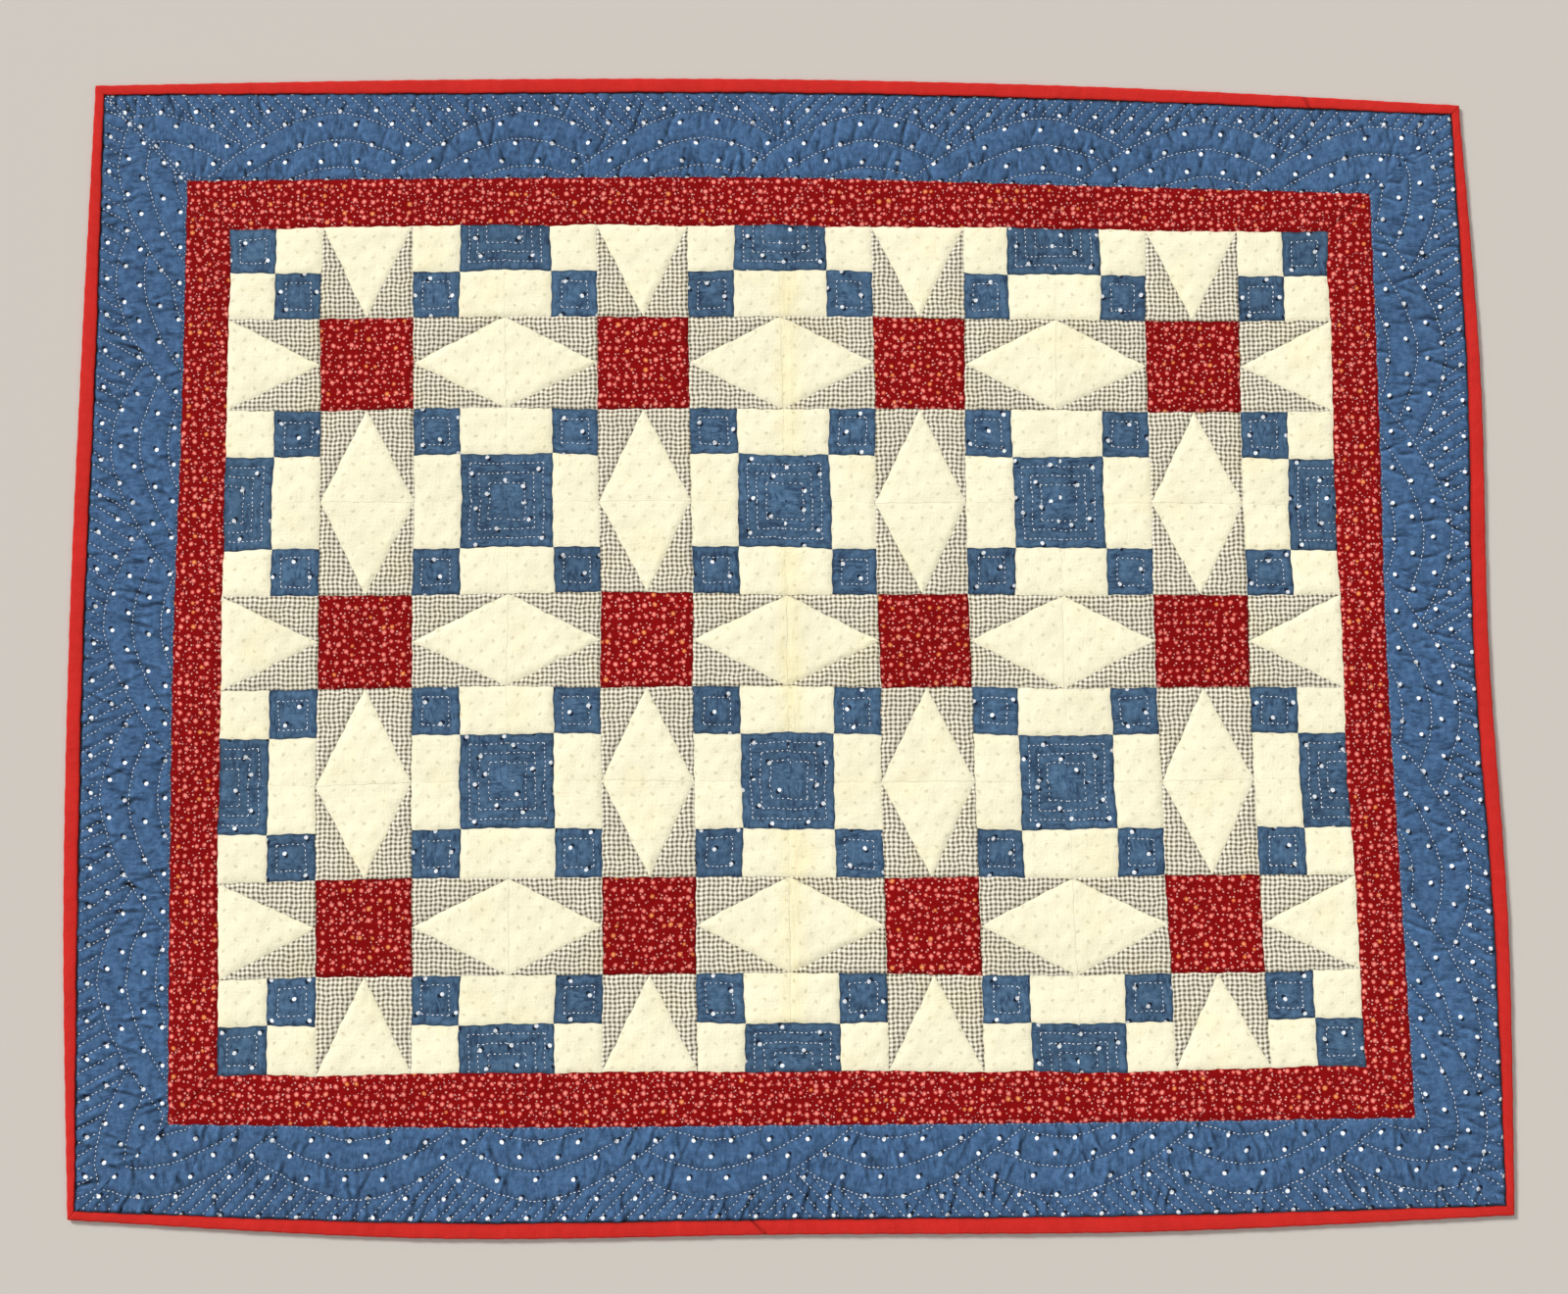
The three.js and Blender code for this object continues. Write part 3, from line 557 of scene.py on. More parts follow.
gingham_loops = [
    [(2, 0), (2, 0), (3, 2), (2, 2)],
    [(4, 0), (4, 0), (4, 2), (3, 2)],
]
gingham = new_cloth()
chance = random.Random(23)
for corners, turns, faint in patches_of(gingham_loops):
    grain = turns * math.pi / 2 + chance.uniform(-0.02, 0.02)
    add_patch(gingham, corners, faint, grain, chance, roll=2.2 * mm, allowance=0.12 * mm)
close_underneath(gingham, patch_underside)
gingham_cotton = make_gingham()
gingham_patches = add_piece("gingham_patches", gingham, gingham_cotton, [whole_centre])

# Red patches
# The square middles of the stars, cut two units wide from the dark red print of the narrow
# border, with the print turned any of four ways, and sewn in without quilting.
def strewn(material, flat, spacing, randomness):
    """How far the cloth is from the nearest of many strewn spots, and the luck of that spot."""
    limits = {"Vector": flat, "Scale": 1 / spacing, "Randomness": randomness}
    spots = add_node(material, "TexVoronoi", {"voronoi_dimensions": "2D", "feature": "F1"}, limits)
    luck = add_node(material, "SeparateXYZ", {}, {0: spots["Color"]})
    return add_node(material, "Math", {"operation": "MULTIPLY"}, {0: spots["Distance"], 1: spacing})[0], luck


def spot_gap(material, reach, luck, smallest, largest):
    """How far the cloth is outside its nearest spot, whose radius is drawn by luck."""
    radius = add_node(material, "MapRange", {}, {"Value": luck, "To Min": smallest, "To Max": largest})[0]
    return add_node(material, "Math", {"operation": "SUBTRACT"}, {0: reach, 1: radius})[0]


def make_red_cotton():
    """Dark red print: round salmon spots up to 3 mm, some of them orange, each paler in its
    middle, and pale pin dots strewn between them."""
    material, flat, tone = start_cotton("red printed quilting cotton")
    dyes = {0: noise_on(material, flat, 4 * mm), 6: hex_colour("#7c0608"), 7: hex_colour("#920a0c")}
    ground = add_node(material, "Mix", as_ink, dyes)[2]
    reach, luck = strewn(material, flat, 6.4 * mm, 0.58)
    pin_reach, pin_luck = strewn(material, flat, 3.9 * mm, 0.8)
    pins = printed(material, spot_gap(material, pin_reach, pin_luck["X"], 0.3 * mm, 0.62 * mm), 0.3 * mm)
    clear = add_node(material, "Math", {"operation": "GREATER_THAN"}, {0: reach, 1: 1.7 * mm})[0]
    pins = add_node(material, "Math", {"operation": "MULTIPLY"}, {0: pins, 1: clear})[0]
    colour = add_node(material, "Mix", as_ink, {0: pins, 6: ground, 7: hex_colour("#f2ab9f")})[2]
    orange = printed(material, luck["Y"], 0.05, 0.12)
    dyes = {0: orange, 6: hex_colour("#e06259"), 7: hex_colour("#db6e3c")}
    ink = add_node(material, "Mix", as_ink, dyes)[2]
    dyes = {0: orange, 6: hex_colour("#f3a394"), 7: hex_colour("#f0a56e")}
    pale = add_node(material, "Mix", as_ink, dyes)[2]
    gap = spot_gap(material, reach, luck["X"], 1.1 * mm, 1.7 * mm)
    colour = add_node(material, "Mix", as_ink, {0: printed(material, gap, 0.35 * mm), 6: colour, 7: ink})[2]
    middle = printed(material, gap, 0.45 * mm, -0.8 * mm)
    colour = add_node(material, "Mix", as_ink, {0: middle, 6: colour, 7: pale})[2]
    return finish_cotton(material, flat, tone, colour, fade_and_shade=0.3, sheen=0.03, gloss=0.06)


red_cotton = make_red_cotton()
red = new_cloth()
chance = random.Random(37)
for corners, turns, faint in patches_of([[(2, 2), (4, 2), (4, 4), (2, 4)]], quarters=1):
    grain = chance.choice([0, 1, 2, 3]) * math.pi / 2
    add_patch(red, corners, faint, grain, chance, roll=2 * mm, allowance=0.15 * mm)
close_underneath(red, patch_underside)
red_patches = add_piece("red_patches", red, red_cotton, [whole_centre])

# Blue patches
# Squares of the blue print with white dots: small ones next to the stars, quilted with one
# square, and large ones where blocks meet, quilted with nested squares.
small_inset = 6.8 * mm
nested_pitch = 6.4 * mm
nested_count = 4


def make_blue_cotton(name, deep, pale, painted_crease_darkness):
    """Washed blue print with small white dots in a set repeat, each with a dark shadow on one
    side. The dye is paler along the threads. Painted light and shade make it paler wherever
    the cloth stands up, and painted shade darkens the short crisp creases that quilting draws
    up in it, by the darkness given for them."""
    material, flat, tone = start_cotton(name)
    repeat = (25.4 * mm, 62.5 * mm)
    rows = ((0, 0), (9, -12.8), (20.5, -23), (6, -37.5), (21.5, -50))
    jitter = add_node(material, "TexNoise", {}, {"Vector": flat, "Scale": 1 / (2 * mm)})["Color"]
    centred = add_node(material, "VectorMath", {"operation": "SUBTRACT"}, {0: jitter, 1: (0.5, 0.5, 0.5)})[0]
    shaky = {0: centred, 1: (0.7 * mm, 0.7 * mm, 0), 2: flat}
    uneven = add_node(material, "VectorMath", {"operation": "MULTIPLY_ADD"}, shaky)[0]
    gap = mark_gap(material, uneven, repeat, [(x * mm, y * mm, 1.35 * mm) for x, y in rows])
    mottled = noise_on(material, flat, 4 * mm, 5.0)
    spread = add_node(material, "MapRange", {}, {"Value": mottled, "From Min": 0.35, "From Max": 0.65})[0]
    colour = add_node(material, "Mix", as_ink, {0: spread, 6: hex_colour(deep), 7: hex_colour(pale)})[2]
    # Painted shade: thin dark lines where crisp creases would be shaded, only in some places.
    folds = noise_on(material, flat, 3.4 * mm, 1.0, (1, 0.24, 1))
    crisp = winding_lines(material, folds, 0.045, 0.045)
    somewhere = {"Value": noise_on(material, flat, 11 * mm), "From Min": 0.44, "From Max": 0.58}
    drawn_up = add_node(material, "MapRange", {}, somewhere)[0]
    crease = add_node(material, "Math", {"operation": "MULTIPLY"}, {0: crisp, 1: drawn_up})[0]
    painted_crease_shade = add_node(material, "Math", {"operation": "MULTIPLY"}, {0: crease, 1: painted_crease_darkness})[0]
    colour = add_node(material, "Mix", as_ink, {0: painted_crease_shade, 6: colour, 7: hex_colour("#1a2f4c")})[2]
    beside = [((x + 1.5) * mm, (y + 1.3) * mm, 1.5 * mm) for x, y in rows]
    shadow = printed(material, mark_gap(material, uneven, repeat, beside), 0.35 * mm)
    colour = add_node(material, "Mix", as_ink, {0: shadow, 6: colour, 7: hex_colour("#122238")})[2]
    dot = printed(material, gap, 0.15 * mm)
    colour = add_node(material, "Mix", as_ink, {0: dot, 6: colour, 7: hex_colour("#f8fcff")})[2]
    return finish_cotton(material, flat, tone, colour, slub=0.09, creasing=1, fade_and_shade=0.45)


def resampled(line, step):
    """Even places along a line, and the distance run to each."""
    runs = np.concatenate([[0], np.cumsum(np.linalg.norm(np.diff(line, axis=0), axis=1))])
    count = max(2, int(round(runs[-1] / step)) + 1)
    wanted = np.linspace(0, runs[-1], count)
    return np.column_stack([np.interp(wanted, runs, line[:, axis]) for axis in (0, 1)]), wanted


def nearest_stitching(lines):
    """A function that gives each point's distance to the nearest stitched line, and the
    distance run along that line."""
    sampled = [resampled(line, 1 * mm) for line in lines]
    places = np.concatenate([spots for spots, _ in sampled])
    runs = np.concatenate([run for _, run in sampled])
    tree = KDTree(len(places))
    for number, place in enumerate(places):
        tree.insert((*place, 0), number)
    tree.balance()

    def look(points):
        found = [tree.find((*point, 0)) for point in points]
        away = np.array([distance for _, _, distance in found])
        return away, runs[[number for _, number, _ in found]]

    return look


def inset_corners(corners, insets):
    """Corners of a quadrilateral moved inwards, with an inset of its own for each edge."""
    moved = []
    for number, corner in enumerate(corners):
        arriving = corner - corners[number - 1]
        leaving = corners[(number + 1) % 4] - corner
        arriving = arriving / np.linalg.norm(arriving)
        leaving = leaving / np.linalg.norm(leaving)
        turn = arriving[0] * leaving[1] - arriving[1] * leaving[0]
        before, after = insets[number - 1], insets[number]
        moved.append(corner + (leaving * before - arriving * after) / abs(turn))
    return np.array(moved)


def hand_drawn(start, end, chance, sway=0.35 * mm, beyond=0.8 * mm):
    """A straight line as a quilter sews it, a little beside where it was marked and a little
    past its ends."""
    way = (end - start) / np.linalg.norm(end - start)
    places, runs = resampled(np.array([start - way * beyond, end + way * beyond]), 2 * mm)
    phase = chance.uniform(0, 6)
    swayed = sway * np.sin(runs / (9 * mm) + phase)
    turned = np.roll(np.gradient(places, axis=0), 1, axis=1) * (-1, 1)
    lengths = np.maximum(np.linalg.norm(turned, axis=1, keepdims=True), 1e-9)
    return places + turned / lengths * swayed[:, None]


small_blue_loops = [[(1, 1), (2, 1), (2, 2), (1, 2)]]
large_blue_loops = [[(0, 0), (1, 0), (1, 1), (0, 1)]]
blue_lines = []
chance = random.Random(41)
large_squares = []
for corners, turns, faint in patches_of(small_blue_loops + large_blue_loops):
    if any(faint):
        large_squares.append(corners)
        continue
    square = inset_corners(corners, [small_inset + chance.uniform(-0.8, 0.8) * mm for _ in corners])
    for start, end in zip(square, np.roll(square, -1, axis=0)):
        blue_lines.append(hand_drawn(start, end, chance))
for heart, right, outer, left in large_squares:
    for number in range(1, nested_count):
        share = number * nested_pitch / unit
        bend = outer + (heart - outer) * share
        blue_lines.append(hand_drawn(right + (heart - right) * share, bend, chance))
        blue_lines.append(hand_drawn(bend, left + (heart - left) * share, chance))

patch_blue = make_blue_cotton("greyed blue dotted cotton", "#3e5b78", "#557492", 0.7)
blue_stitching = nearest_stitching(blue_lines)
blue = new_cloth()
for corners, turns, faint in patches_of(small_blue_loops + large_blue_loops):
    grain = chance.choice([0, 1, 2, 3]) * math.pi / 2
    add_patch(blue, corners, faint, grain, chance, roll=1.6 * mm, allowance=0.2 * mm, stitches=blue_stitching)
close_underneath(blue, patch_underside)
blue_patches = add_piece("blue_patches", blue, patch_blue, [whole_centre])

# Narrow border
# Four strips of the dark red print round the patchwork, joined with mitres. Their seams are
# quilted in the ditch, and they puff up between them.
mitre_gap = 0.03 * mm
strip_shift = 110 * mm

# Sides in clockwise order. Reaches are millimetres from the middle of the patchwork at the
# first corner, the three quarter points and the last corner, going clockwise. The print of
# the wide border gives which way round it lies, its stretch, and its shift in millimetres.
# A slanting line of its quilting travels so far along the side for each step inwards. shells
# are the places of the shells' middles along the side, and binding_join that of a join.
sides = [
    {
        "name": "top", "slant_travel": 0.95, "print": (1, 1.011, 9.2, -0.3), "outward": (0, 1),
        "border_seam": (325.0, 325.6, 324.6, 317.6, 310.5),
        "binding_seam": (387.4, 386.8, 385.8, 378.5, 366.8),
        "edge": (394.3, 397.0, 395.8, 388.2, 373.8),
        "shells": (-437, -310, -180, -57, 62, 182, 297, 415),
        "binding_join": 365,
    },
    {
        "name": "right", "slant_travel": 0.6, "print": (1, 1.019, 10.9, 57.6), "outward": (1, 0),
        "border_seam": (408.7, 409.5, 408.8, 412.6, 416.7),
        "binding_seam": (467.5, 471.5, 468.4, 474.5, 474.9),
        "edge": (473.3, 480.8, 478.8, 484.3, 480.5),
        "shells": (-315, -197, -72, 50, 160, 265, 325),
        "binding_join": None,
    },
    {
        "name": "bottom", "slant_travel": 0.95, "print": (-1, 1, 3.5, 3.4), "outward": (0, -1),
        "border_seam": (321.3, 323.1, 323.6, 323.8, 320.3),
        "binding_seam": (379.1, 384.0, 385.0, 385.8, 376.6),
        "edge": (385.5, 394.6, 394.8, 395.8, 382.3),
        "shells": (-423, -305, -180, -65, 50, 168, 290, 430),
        "binding_join": 15,
    },
    {
        "name": "left", "slant_travel": 0.55, "print": (1, 1, 1.7, 54), "outward": (-1, 0),
        "border_seam": (412.8, 415.3, 416.6, 414.4, 414.3),
        "binding_seam": (473.3, 476.8, 478.0, 474.8, 474.0),
        "edge": (478.3, 486.4, 488.0, 485.0, 480.3),
        "shells": (-342, -225, -103, 17, 140, 257, 335),
        "binding_join": None,
    },
]


def directions(number):
    """The unit vectors of a side: away from the middle of the quilt, and clockwise along."""
    outward = np.array(sides[number]["outward"], float)
    return outward, np.array([outward[1], -outward[0]])


def units_along(number):
    """How many units the patchwork is long on a side."""
    return units_across if number % 2 == 0 else units_down


def curve_through(values, shares):
    """A smooth curve through evenly spaced values, at shares of its length from 0 to 1."""
    padded = np.concatenate([values[:1], values, values[-1:]])
    place = np.clip(shares, 0, 1) * (len(values) - 1)
    start = np.minimum(place.astype(int), len(values) - 2)
    w = place - start
    before, first, second, after = (padded[start + step] for step in range(4))
    leave, arrive = (second - before) / 2, (after - first) / 2
    cubic = (2 * first - 2 * second + leave + arrive) * w ** 3
    return cubic + (3 * second - 3 * first - 2 * leave - arrive) * w ** 2 + leave * w + first


def patchwork_edge(number, shares):
    """Places on the patchwork's edge along one side, going clockwise."""
    count = units_along(number)
    ways = (
        lambda spot: junction(spot, 0),
        lambda spot: junction(units_across, spot),
        lambda spot: junction(units_across - spot, units_down),
        lambda spot: junction(0, units_down - spot),
    )
    stops = np.array([ways[number](spot) for spot in range(count + 1)])
    return np.column_stack([np.interp(shares * count, range(count + 1), stops[:, axis]) for axis in (0, 1)])


def seam_row(number, seam, shares, mitre_shift, outward_shift):
    """Places on a long seam or edge of one side, moved outwards, with ends on the mitres."""
    side = sides[number]
    outward, along = directions(number)
    end_shift = mitre_shift - outward_shift
    if seam == "patchwork":
        moved = patchwork_edge(number, shares) + np.outer(end_shift * (1 - 2 * shares), along)
        return moved + outward * outward_shift
    first = -sides[number - 1][seam][-1] * mm + end_shift
    last = sides[(number + 1) % 4][seam][0] * mm - end_shift
    reach = curve_through(np.array(side[seam]) * mm, shares) + outward_shift
    run = curve_through(np.linspace(first, last, len(side[seam])), shares)
    return np.outer(run, along) + np.outer(reach, outward)


def strip_between(number, inner_seam, inner_shift, outer_seam, outer_shift):
    """A function that places shares of a border strip between two long seams."""
    def at(shares):
        inner = seam_row(number, inner_seam, shares[:, 0], mitre_gap, inner_shift)
        outer = seam_row(number, outer_seam, shares[:, 0], mitre_gap, outer_shift)
        return inner + (outer - inner) * shares[:, 1:]
    return at


def mitre_gaps(points, strip):
    """Distance of each point to the nearer of the two mitred ends of a strip."""
    gaps = []
    for end in (0.0, 1.0):
        inner, outer = strip(np.array([[end, 0.0], [end, 1.0]]))
        way = (outer - inner) / np.linalg.norm(outer - inner)
        gaps.append(np.abs((points - inner) @ np.array([way[1], -way[0]])))
    return np.minimum(*gaps)


def add_inner_border(number):
    """One strip of the narrow border, puffed up between its seams and its mitred ends."""
    outward, along = directions(number)
    strip = strip_between(number, "patchwork", seam_gap, "border_seam", -seam_gap)
    length = (units_along(number) + 1) * unit

    def place(shares):
        flat = strip(shares)
        ends = strip(np.column_stack([shares[:, 0], np.round(shares[:, 1])]))
        seam_away = np.minimum(np.linalg.norm(flat - ends, axis=1), mitre_gaps(flat, strip))
        run = flat @ along
        plain = np.full(len(flat), unquilted)
        height = puffed(flat, (seam_away, run), (plain, run), roll=1.9 * mm, allowance=0.2 * mm)
        # The tone carries painted light and shade: paler where the strip puffs up, darker in its low places.
        threads = np.column_stack([run + number * strip_shift, flat @ outward, tone_with_painted_shade(0.5, height)])
        return np.column_stack([settled(flat), height]), threads

    cloth = new_cloth()
    stretch_cloth(cloth, [round(length / grid_step), round(unit / grid_step)], place)
    close_underneath(cloth, patch_underside)
    node = "inner_border_" + sides[number]["name"]
    piece = add_piece(node + "_cloth", cloth, red_cotton, [node])
    return cloth


inner_borders = [add_inner_border(number) for number in range(4)]

# Wide border
# Four strips of the blue print with mitred corners, quilted in overlapping shells of three
# arcs, with slanting lines between the shells and the binding. The quilting puckers them.
shell_rise = 48 * mm
shell_reach = 93 * mm
shell_power = 1.7
arc_rises = (48 * mm, 28.5 * mm, 9 * mm)
slant_pitch = 9 * mm
under_binding_height = 2.3 * mm
binding_cloth = 0.8 * mm
fold_gap = 0.5 * mm
border_step = 1.3 * mm
border_underside = 1.1 * mm
border_widest = 69 * mm
border_sunk = 0.95 * mm
border_sunk_reach = 1.8 * mm
mitre_relief = 3 * mm
mitre_stitching = 1.8 * mm
quilting_margin = 1.2 * mm
least_places = 8
shell_gap = 0.8 * mm
slant_gap = 1.5 * mm
crease_pitch = 3.4 * mm
crease_middles = (5, 14, 27, 40, 54)
crease_width = 1.1 * mm
ridge_beside = 2.4 * mm
ridge_width = 1.6 * mm


def arc_height(rise, distance):
    """Height of a shell's arc above the border seam, at a distance from the shell's middle."""
    return rise - shell_rise * (np.abs(distance) / shell_reach) ** shell_power


def kept_runs(line, keep):
    """The stretches of a line whose places are kept, if longer than a few stitches."""
    runs = np.split(np.arange(len(line)), np.flatnonzero(np.diff(keep.astype(int))) + 1)
    return [line[run] for run in runs if keep[run[0]] and len(run) > least_places]


def border_lines(number, chance):
    """The stitched lines of one side: arcs of shells, each lying over the one before, and
    slanting lines that lean to the middle of the side."""
    side = sides[number]
    outward, along = directions(number)
    strip = strip_between(number, "border_seam", seam_gap, "binding_seam", 0)
    shares = np.linspace(0, 1, 400)
    seam = seam_row(number, "border_seam", shares, mitre_gap, 0)
    binding = seam_row(number, "binding_seam", shares, mitre_gap, 0)
    middles = np.array(side["shells"]) * mm
    corners = strip(np.array([[0.0, 0.0], [0.0, 1.0], [1.0, 1.0], [1.0, 0.0]]))

    def in_field(places, run):
        reach = places @ outward
        starts = np.interp(reach, corners[:2] @ outward, corners[:2] @ along)
        ends = np.interp(reach, corners[:1:-1] @ outward, corners[:1:-1] @ along)
        low = np.interp(run, seam @ along, seam @ outward)
        high = np.interp(run, binding @ along, binding @ outward)
        between_mitres = (run > starts + quilting_margin) & (run < ends - quilting_margin)
        return between_mitres & (reach > low + quilting_margin) & (reach < high - mm)

    def placed(run, above):
        reach = np.interp(run, seam @ along, seam @ outward) + above
        return np.outer(run, along) + np.outer(reach, outward)

    def skyline(run):
        return np.max([arc_height(shell_rise, run - middle) for middle in middles], axis=0)

    lines = []
    for index, middle in enumerate(middles):
        for rise in arc_rises:
            shift = chance.uniform(-0.8, 0.8) * mm
            reach = shell_reach * (rise / shell_rise) ** (1 / shell_power)
            run = np.arange(middle - reach, middle + reach, 1 * mm)
            above = arc_height(rise, run - middle) + shift * np.sin((run - middle) / (23 * mm))
            places = placed(run, above)
            keep = in_field(places, run)
            if index + 1 < len(middles):
                keep &= above > arc_height(shell_rise, run - middles[index + 1]) + shell_gap
            lines += kept_runs(places, keep)
    width = np.max((binding - seam) @ outward)
    length = np.abs(binding @ along).max()
    for start in np.arange(-length, length, slant_pitch):
        drop = np.arange(0, width + 8 * mm, 1 * mm)
        start = start + chance.uniform(-0.9, 0.9) * mm
        run = start - np.sign(start) * drop * side["slant_travel"]
        reach = np.interp(start, binding @ along, binding @ outward) - drop
        above = reach - np.interp(run, seam @ along, seam @ outward)
        places = np.outer(run, along) + np.outer(reach, outward)
        keep = in_field(places, run) & (above > skyline(run) + slant_gap) & (run * start > 0)
        lines += kept_runs(places, keep)
    # The mitre at the top left has a stitched line on each side
    if side["name"] in ("top", "left"):
        ends = corners[:2] if side["name"] == "top" else corners[:1:-1]
        beside = along * mitre_stitching * (1 if side["name"] == "top" else -1)
        lines.append(resampled(ends + beside, mm)[0])
    return lines


def border_creases(chance, length):
    """Short creases across a wide border, which the quilting draws up in it: for each its
    place along the side, its middle from the border seam, half length, lean and depth."""
    count = int(length / crease_pitch)
    rows = []
    for index in range(count):
        run = length * ((index + chance.random()) / count - 0.5)
        middle = chance.choice(crease_middles) * mm + chance.uniform(-4, 4) * mm
        half = chance.uniform(3, 12) * mm
        lean = chance.uniform(-0.5, 0.5)
        rows.append((run, middle, half, lean, chance.uniform(0.4, 1.1) * mm))
    return rows


def creased(run, above, rows):
    """How much the creases lower a border at distances along and above its seam. Each one is
    a groove with a low ridge beside it."""
    depth = np.zeros(len(run))
    for place, middle, half, lean, deep in rows:
        near = np.abs(run - place) < 8 * mm
        aside = run[near] - place - lean * (above[near] - middle)
        along = (above[near] - middle) / half
        groove = np.exp(-((aside / crease_width) ** 2))
        ridge = 0.45 * np.exp(-(((aside - ridge_beside) / ridge_width) ** 2))
        depth[near] += deep * (groove - ridge) * np.exp(-(along ** 4))
    return depth


def add_outer_border(number, lines, chance):
    """One strip of the wide border, sunk along its stitched lines and creased by them, and
    pressed down flat where the binding covers it. Its tone carries painted shade beside and
    under the binding's lip, in its creases and along its stitched lines."""
    side = sides[number]
    outward, along = directions(number)
    strip = strip_between(number, "border_seam", seam_gap, "edge", -(binding_cloth + fold_gap))
    stitching = nearest_stitching(lines)
    samples = np.linspace(0, 1, 600)
    binding = seam_row(number, "binding_seam", samples, 0, 0)
    seam = seam_row(number, "border_seam", samples, 0, 0)
    length = np.ptp(binding @ along)
    creases = border_creases(chance, length)

    def place(shares):
        flat = strip(shares)
        run = flat @ along
        inner = strip(np.column_stack([shares[:, 0], np.zeros(len(shares))]))
        under_lip = np.interp(run, binding @ along, binding @ outward) - flat @ outward
        from_seam = np.minimum(np.linalg.norm(flat - inner, axis=1), mitre_gaps(flat, strip) + mitre_relief)
        seam_away = np.minimum(from_seam, np.maximum(under_lip, 0))
        sewn = stitching(flat)
        height = puffed(flat, (seam_away, run), sewn, 1.5 * mm, 0.15 * mm, border_sunk, border_sunk_reach)
        beyond = smooth_step(-under_lip, -1.3 * mm, 0)
        height = height + (under_binding_height - height) * beyond
        above = flat @ outward - np.interp(run, seam @ along, seam @ outward)
        deep = creased(run, above, creases) * smooth_step(seam_away, 0, 1.5 * mm)
        height = height - deep
        # Painted shade: a dark band where the binding's lip would shade the border, and darker creases and
        # stitched lines.
        tone = tone_with_painted_shade(0.55, height) - 0.8 * smooth_step(-under_lip, -1.6 * mm, -0.4 * mm)
        tone = tone - 0.5 * deep / mm - 0.15 * np.exp(-(sewn[0] / (1.1 * mm)) ** 2)
        way, stretch, shift, rise = side["print"]
        threads = np.column_stack([way * run * stretch - shift * mm, way * above - rise * mm, tone])
        return np.column_stack([settled(flat), height]), threads

    cloth = new_cloth()
    stretch_cloth(cloth, [round(length / border_step), round(border_widest / border_step)], place)
    close_underneath(cloth, border_underside)
    node = "outer_border_" + side["name"]
    piece = add_piece(node + "_cloth", cloth, blue_cotton, [node])
    return cloth


blue_cotton = make_blue_cotton("blue dotted quilting cotton", "#38577b", "#4b6c93", 0.55)
chance = random.Random(59)
outer_lines = [border_lines(number, chance) for number in range(4)]
outer_borders = [add_outer_border(number, lines, chance) for number, lines in enumerate(outer_lines)]

# Binding
# A strip of plain bright red cotton folded over the edge on each side, sewn down along its
# inner edge and mitred at the corners. Two of the strips have a slanting join.
binding_width = 9 * mm
lip_gap = 0.3 * mm
lip_drop = 0.35 * mm
edge_roll = 1.5 * mm
join_width = 1.1 * mm
join_depth = 0.3 * mm
binding_step = 1.8 * mm


def binding_profile(width):
    """The folded strip's section, once round the cloth: inset from the edge and height."""
    lip_under = under_binding_height + lip_gap
    top = lip_under + binding_cloth
    turn = np.linspace(0, np.pi, 9)
    bend = binding_cloth * 1.2
    outer = np.column_stack([edge_roll * (1 - np.sin(turn)), top / 2 * (1 - np.cos(turn))])
    over = np.array([0.3, 0.55, 0.78, 0.93]) * (width - edge_roll) + edge_roll
    crown = top + np.array([0.1, 0.12, 0.02, -0.12]) * mm
    lip = [(width, top - lip_drop), (width, lip_under), (width / 2, lip_under), (bend, lip_under)]
    inside = [(binding_cloth, top / 2), (bend, binding_cloth), (width, binding_cloth), (width, 0)]
    under = [(width * 0.7, 0), (width * 0.4, 0)]
    return np.concatenate([outer, np.column_stack([over, crown]), lip, inside, under])


def make_binding_cotton():
    """Plain bright red cotton, dyed in the piece, rubbed a little paler along the fold."""
    material, flat, tone = start_cotton("plain red cotton")
    rubbed = noise_on(material, flat, 6 * mm, 3.0, (1, 0.5, 1))
    dyes = {0: rubbed, 6: hex_colour("#c82520"), 7: hex_colour("#d5322c")}
    colour = add_node(material, "Mix", as_ink, dyes)[2]
    return finish_cotton(material, flat, tone, colour, slub=0.04, fade_and_shade=0.3, sheen=0.03, gloss=0.08)


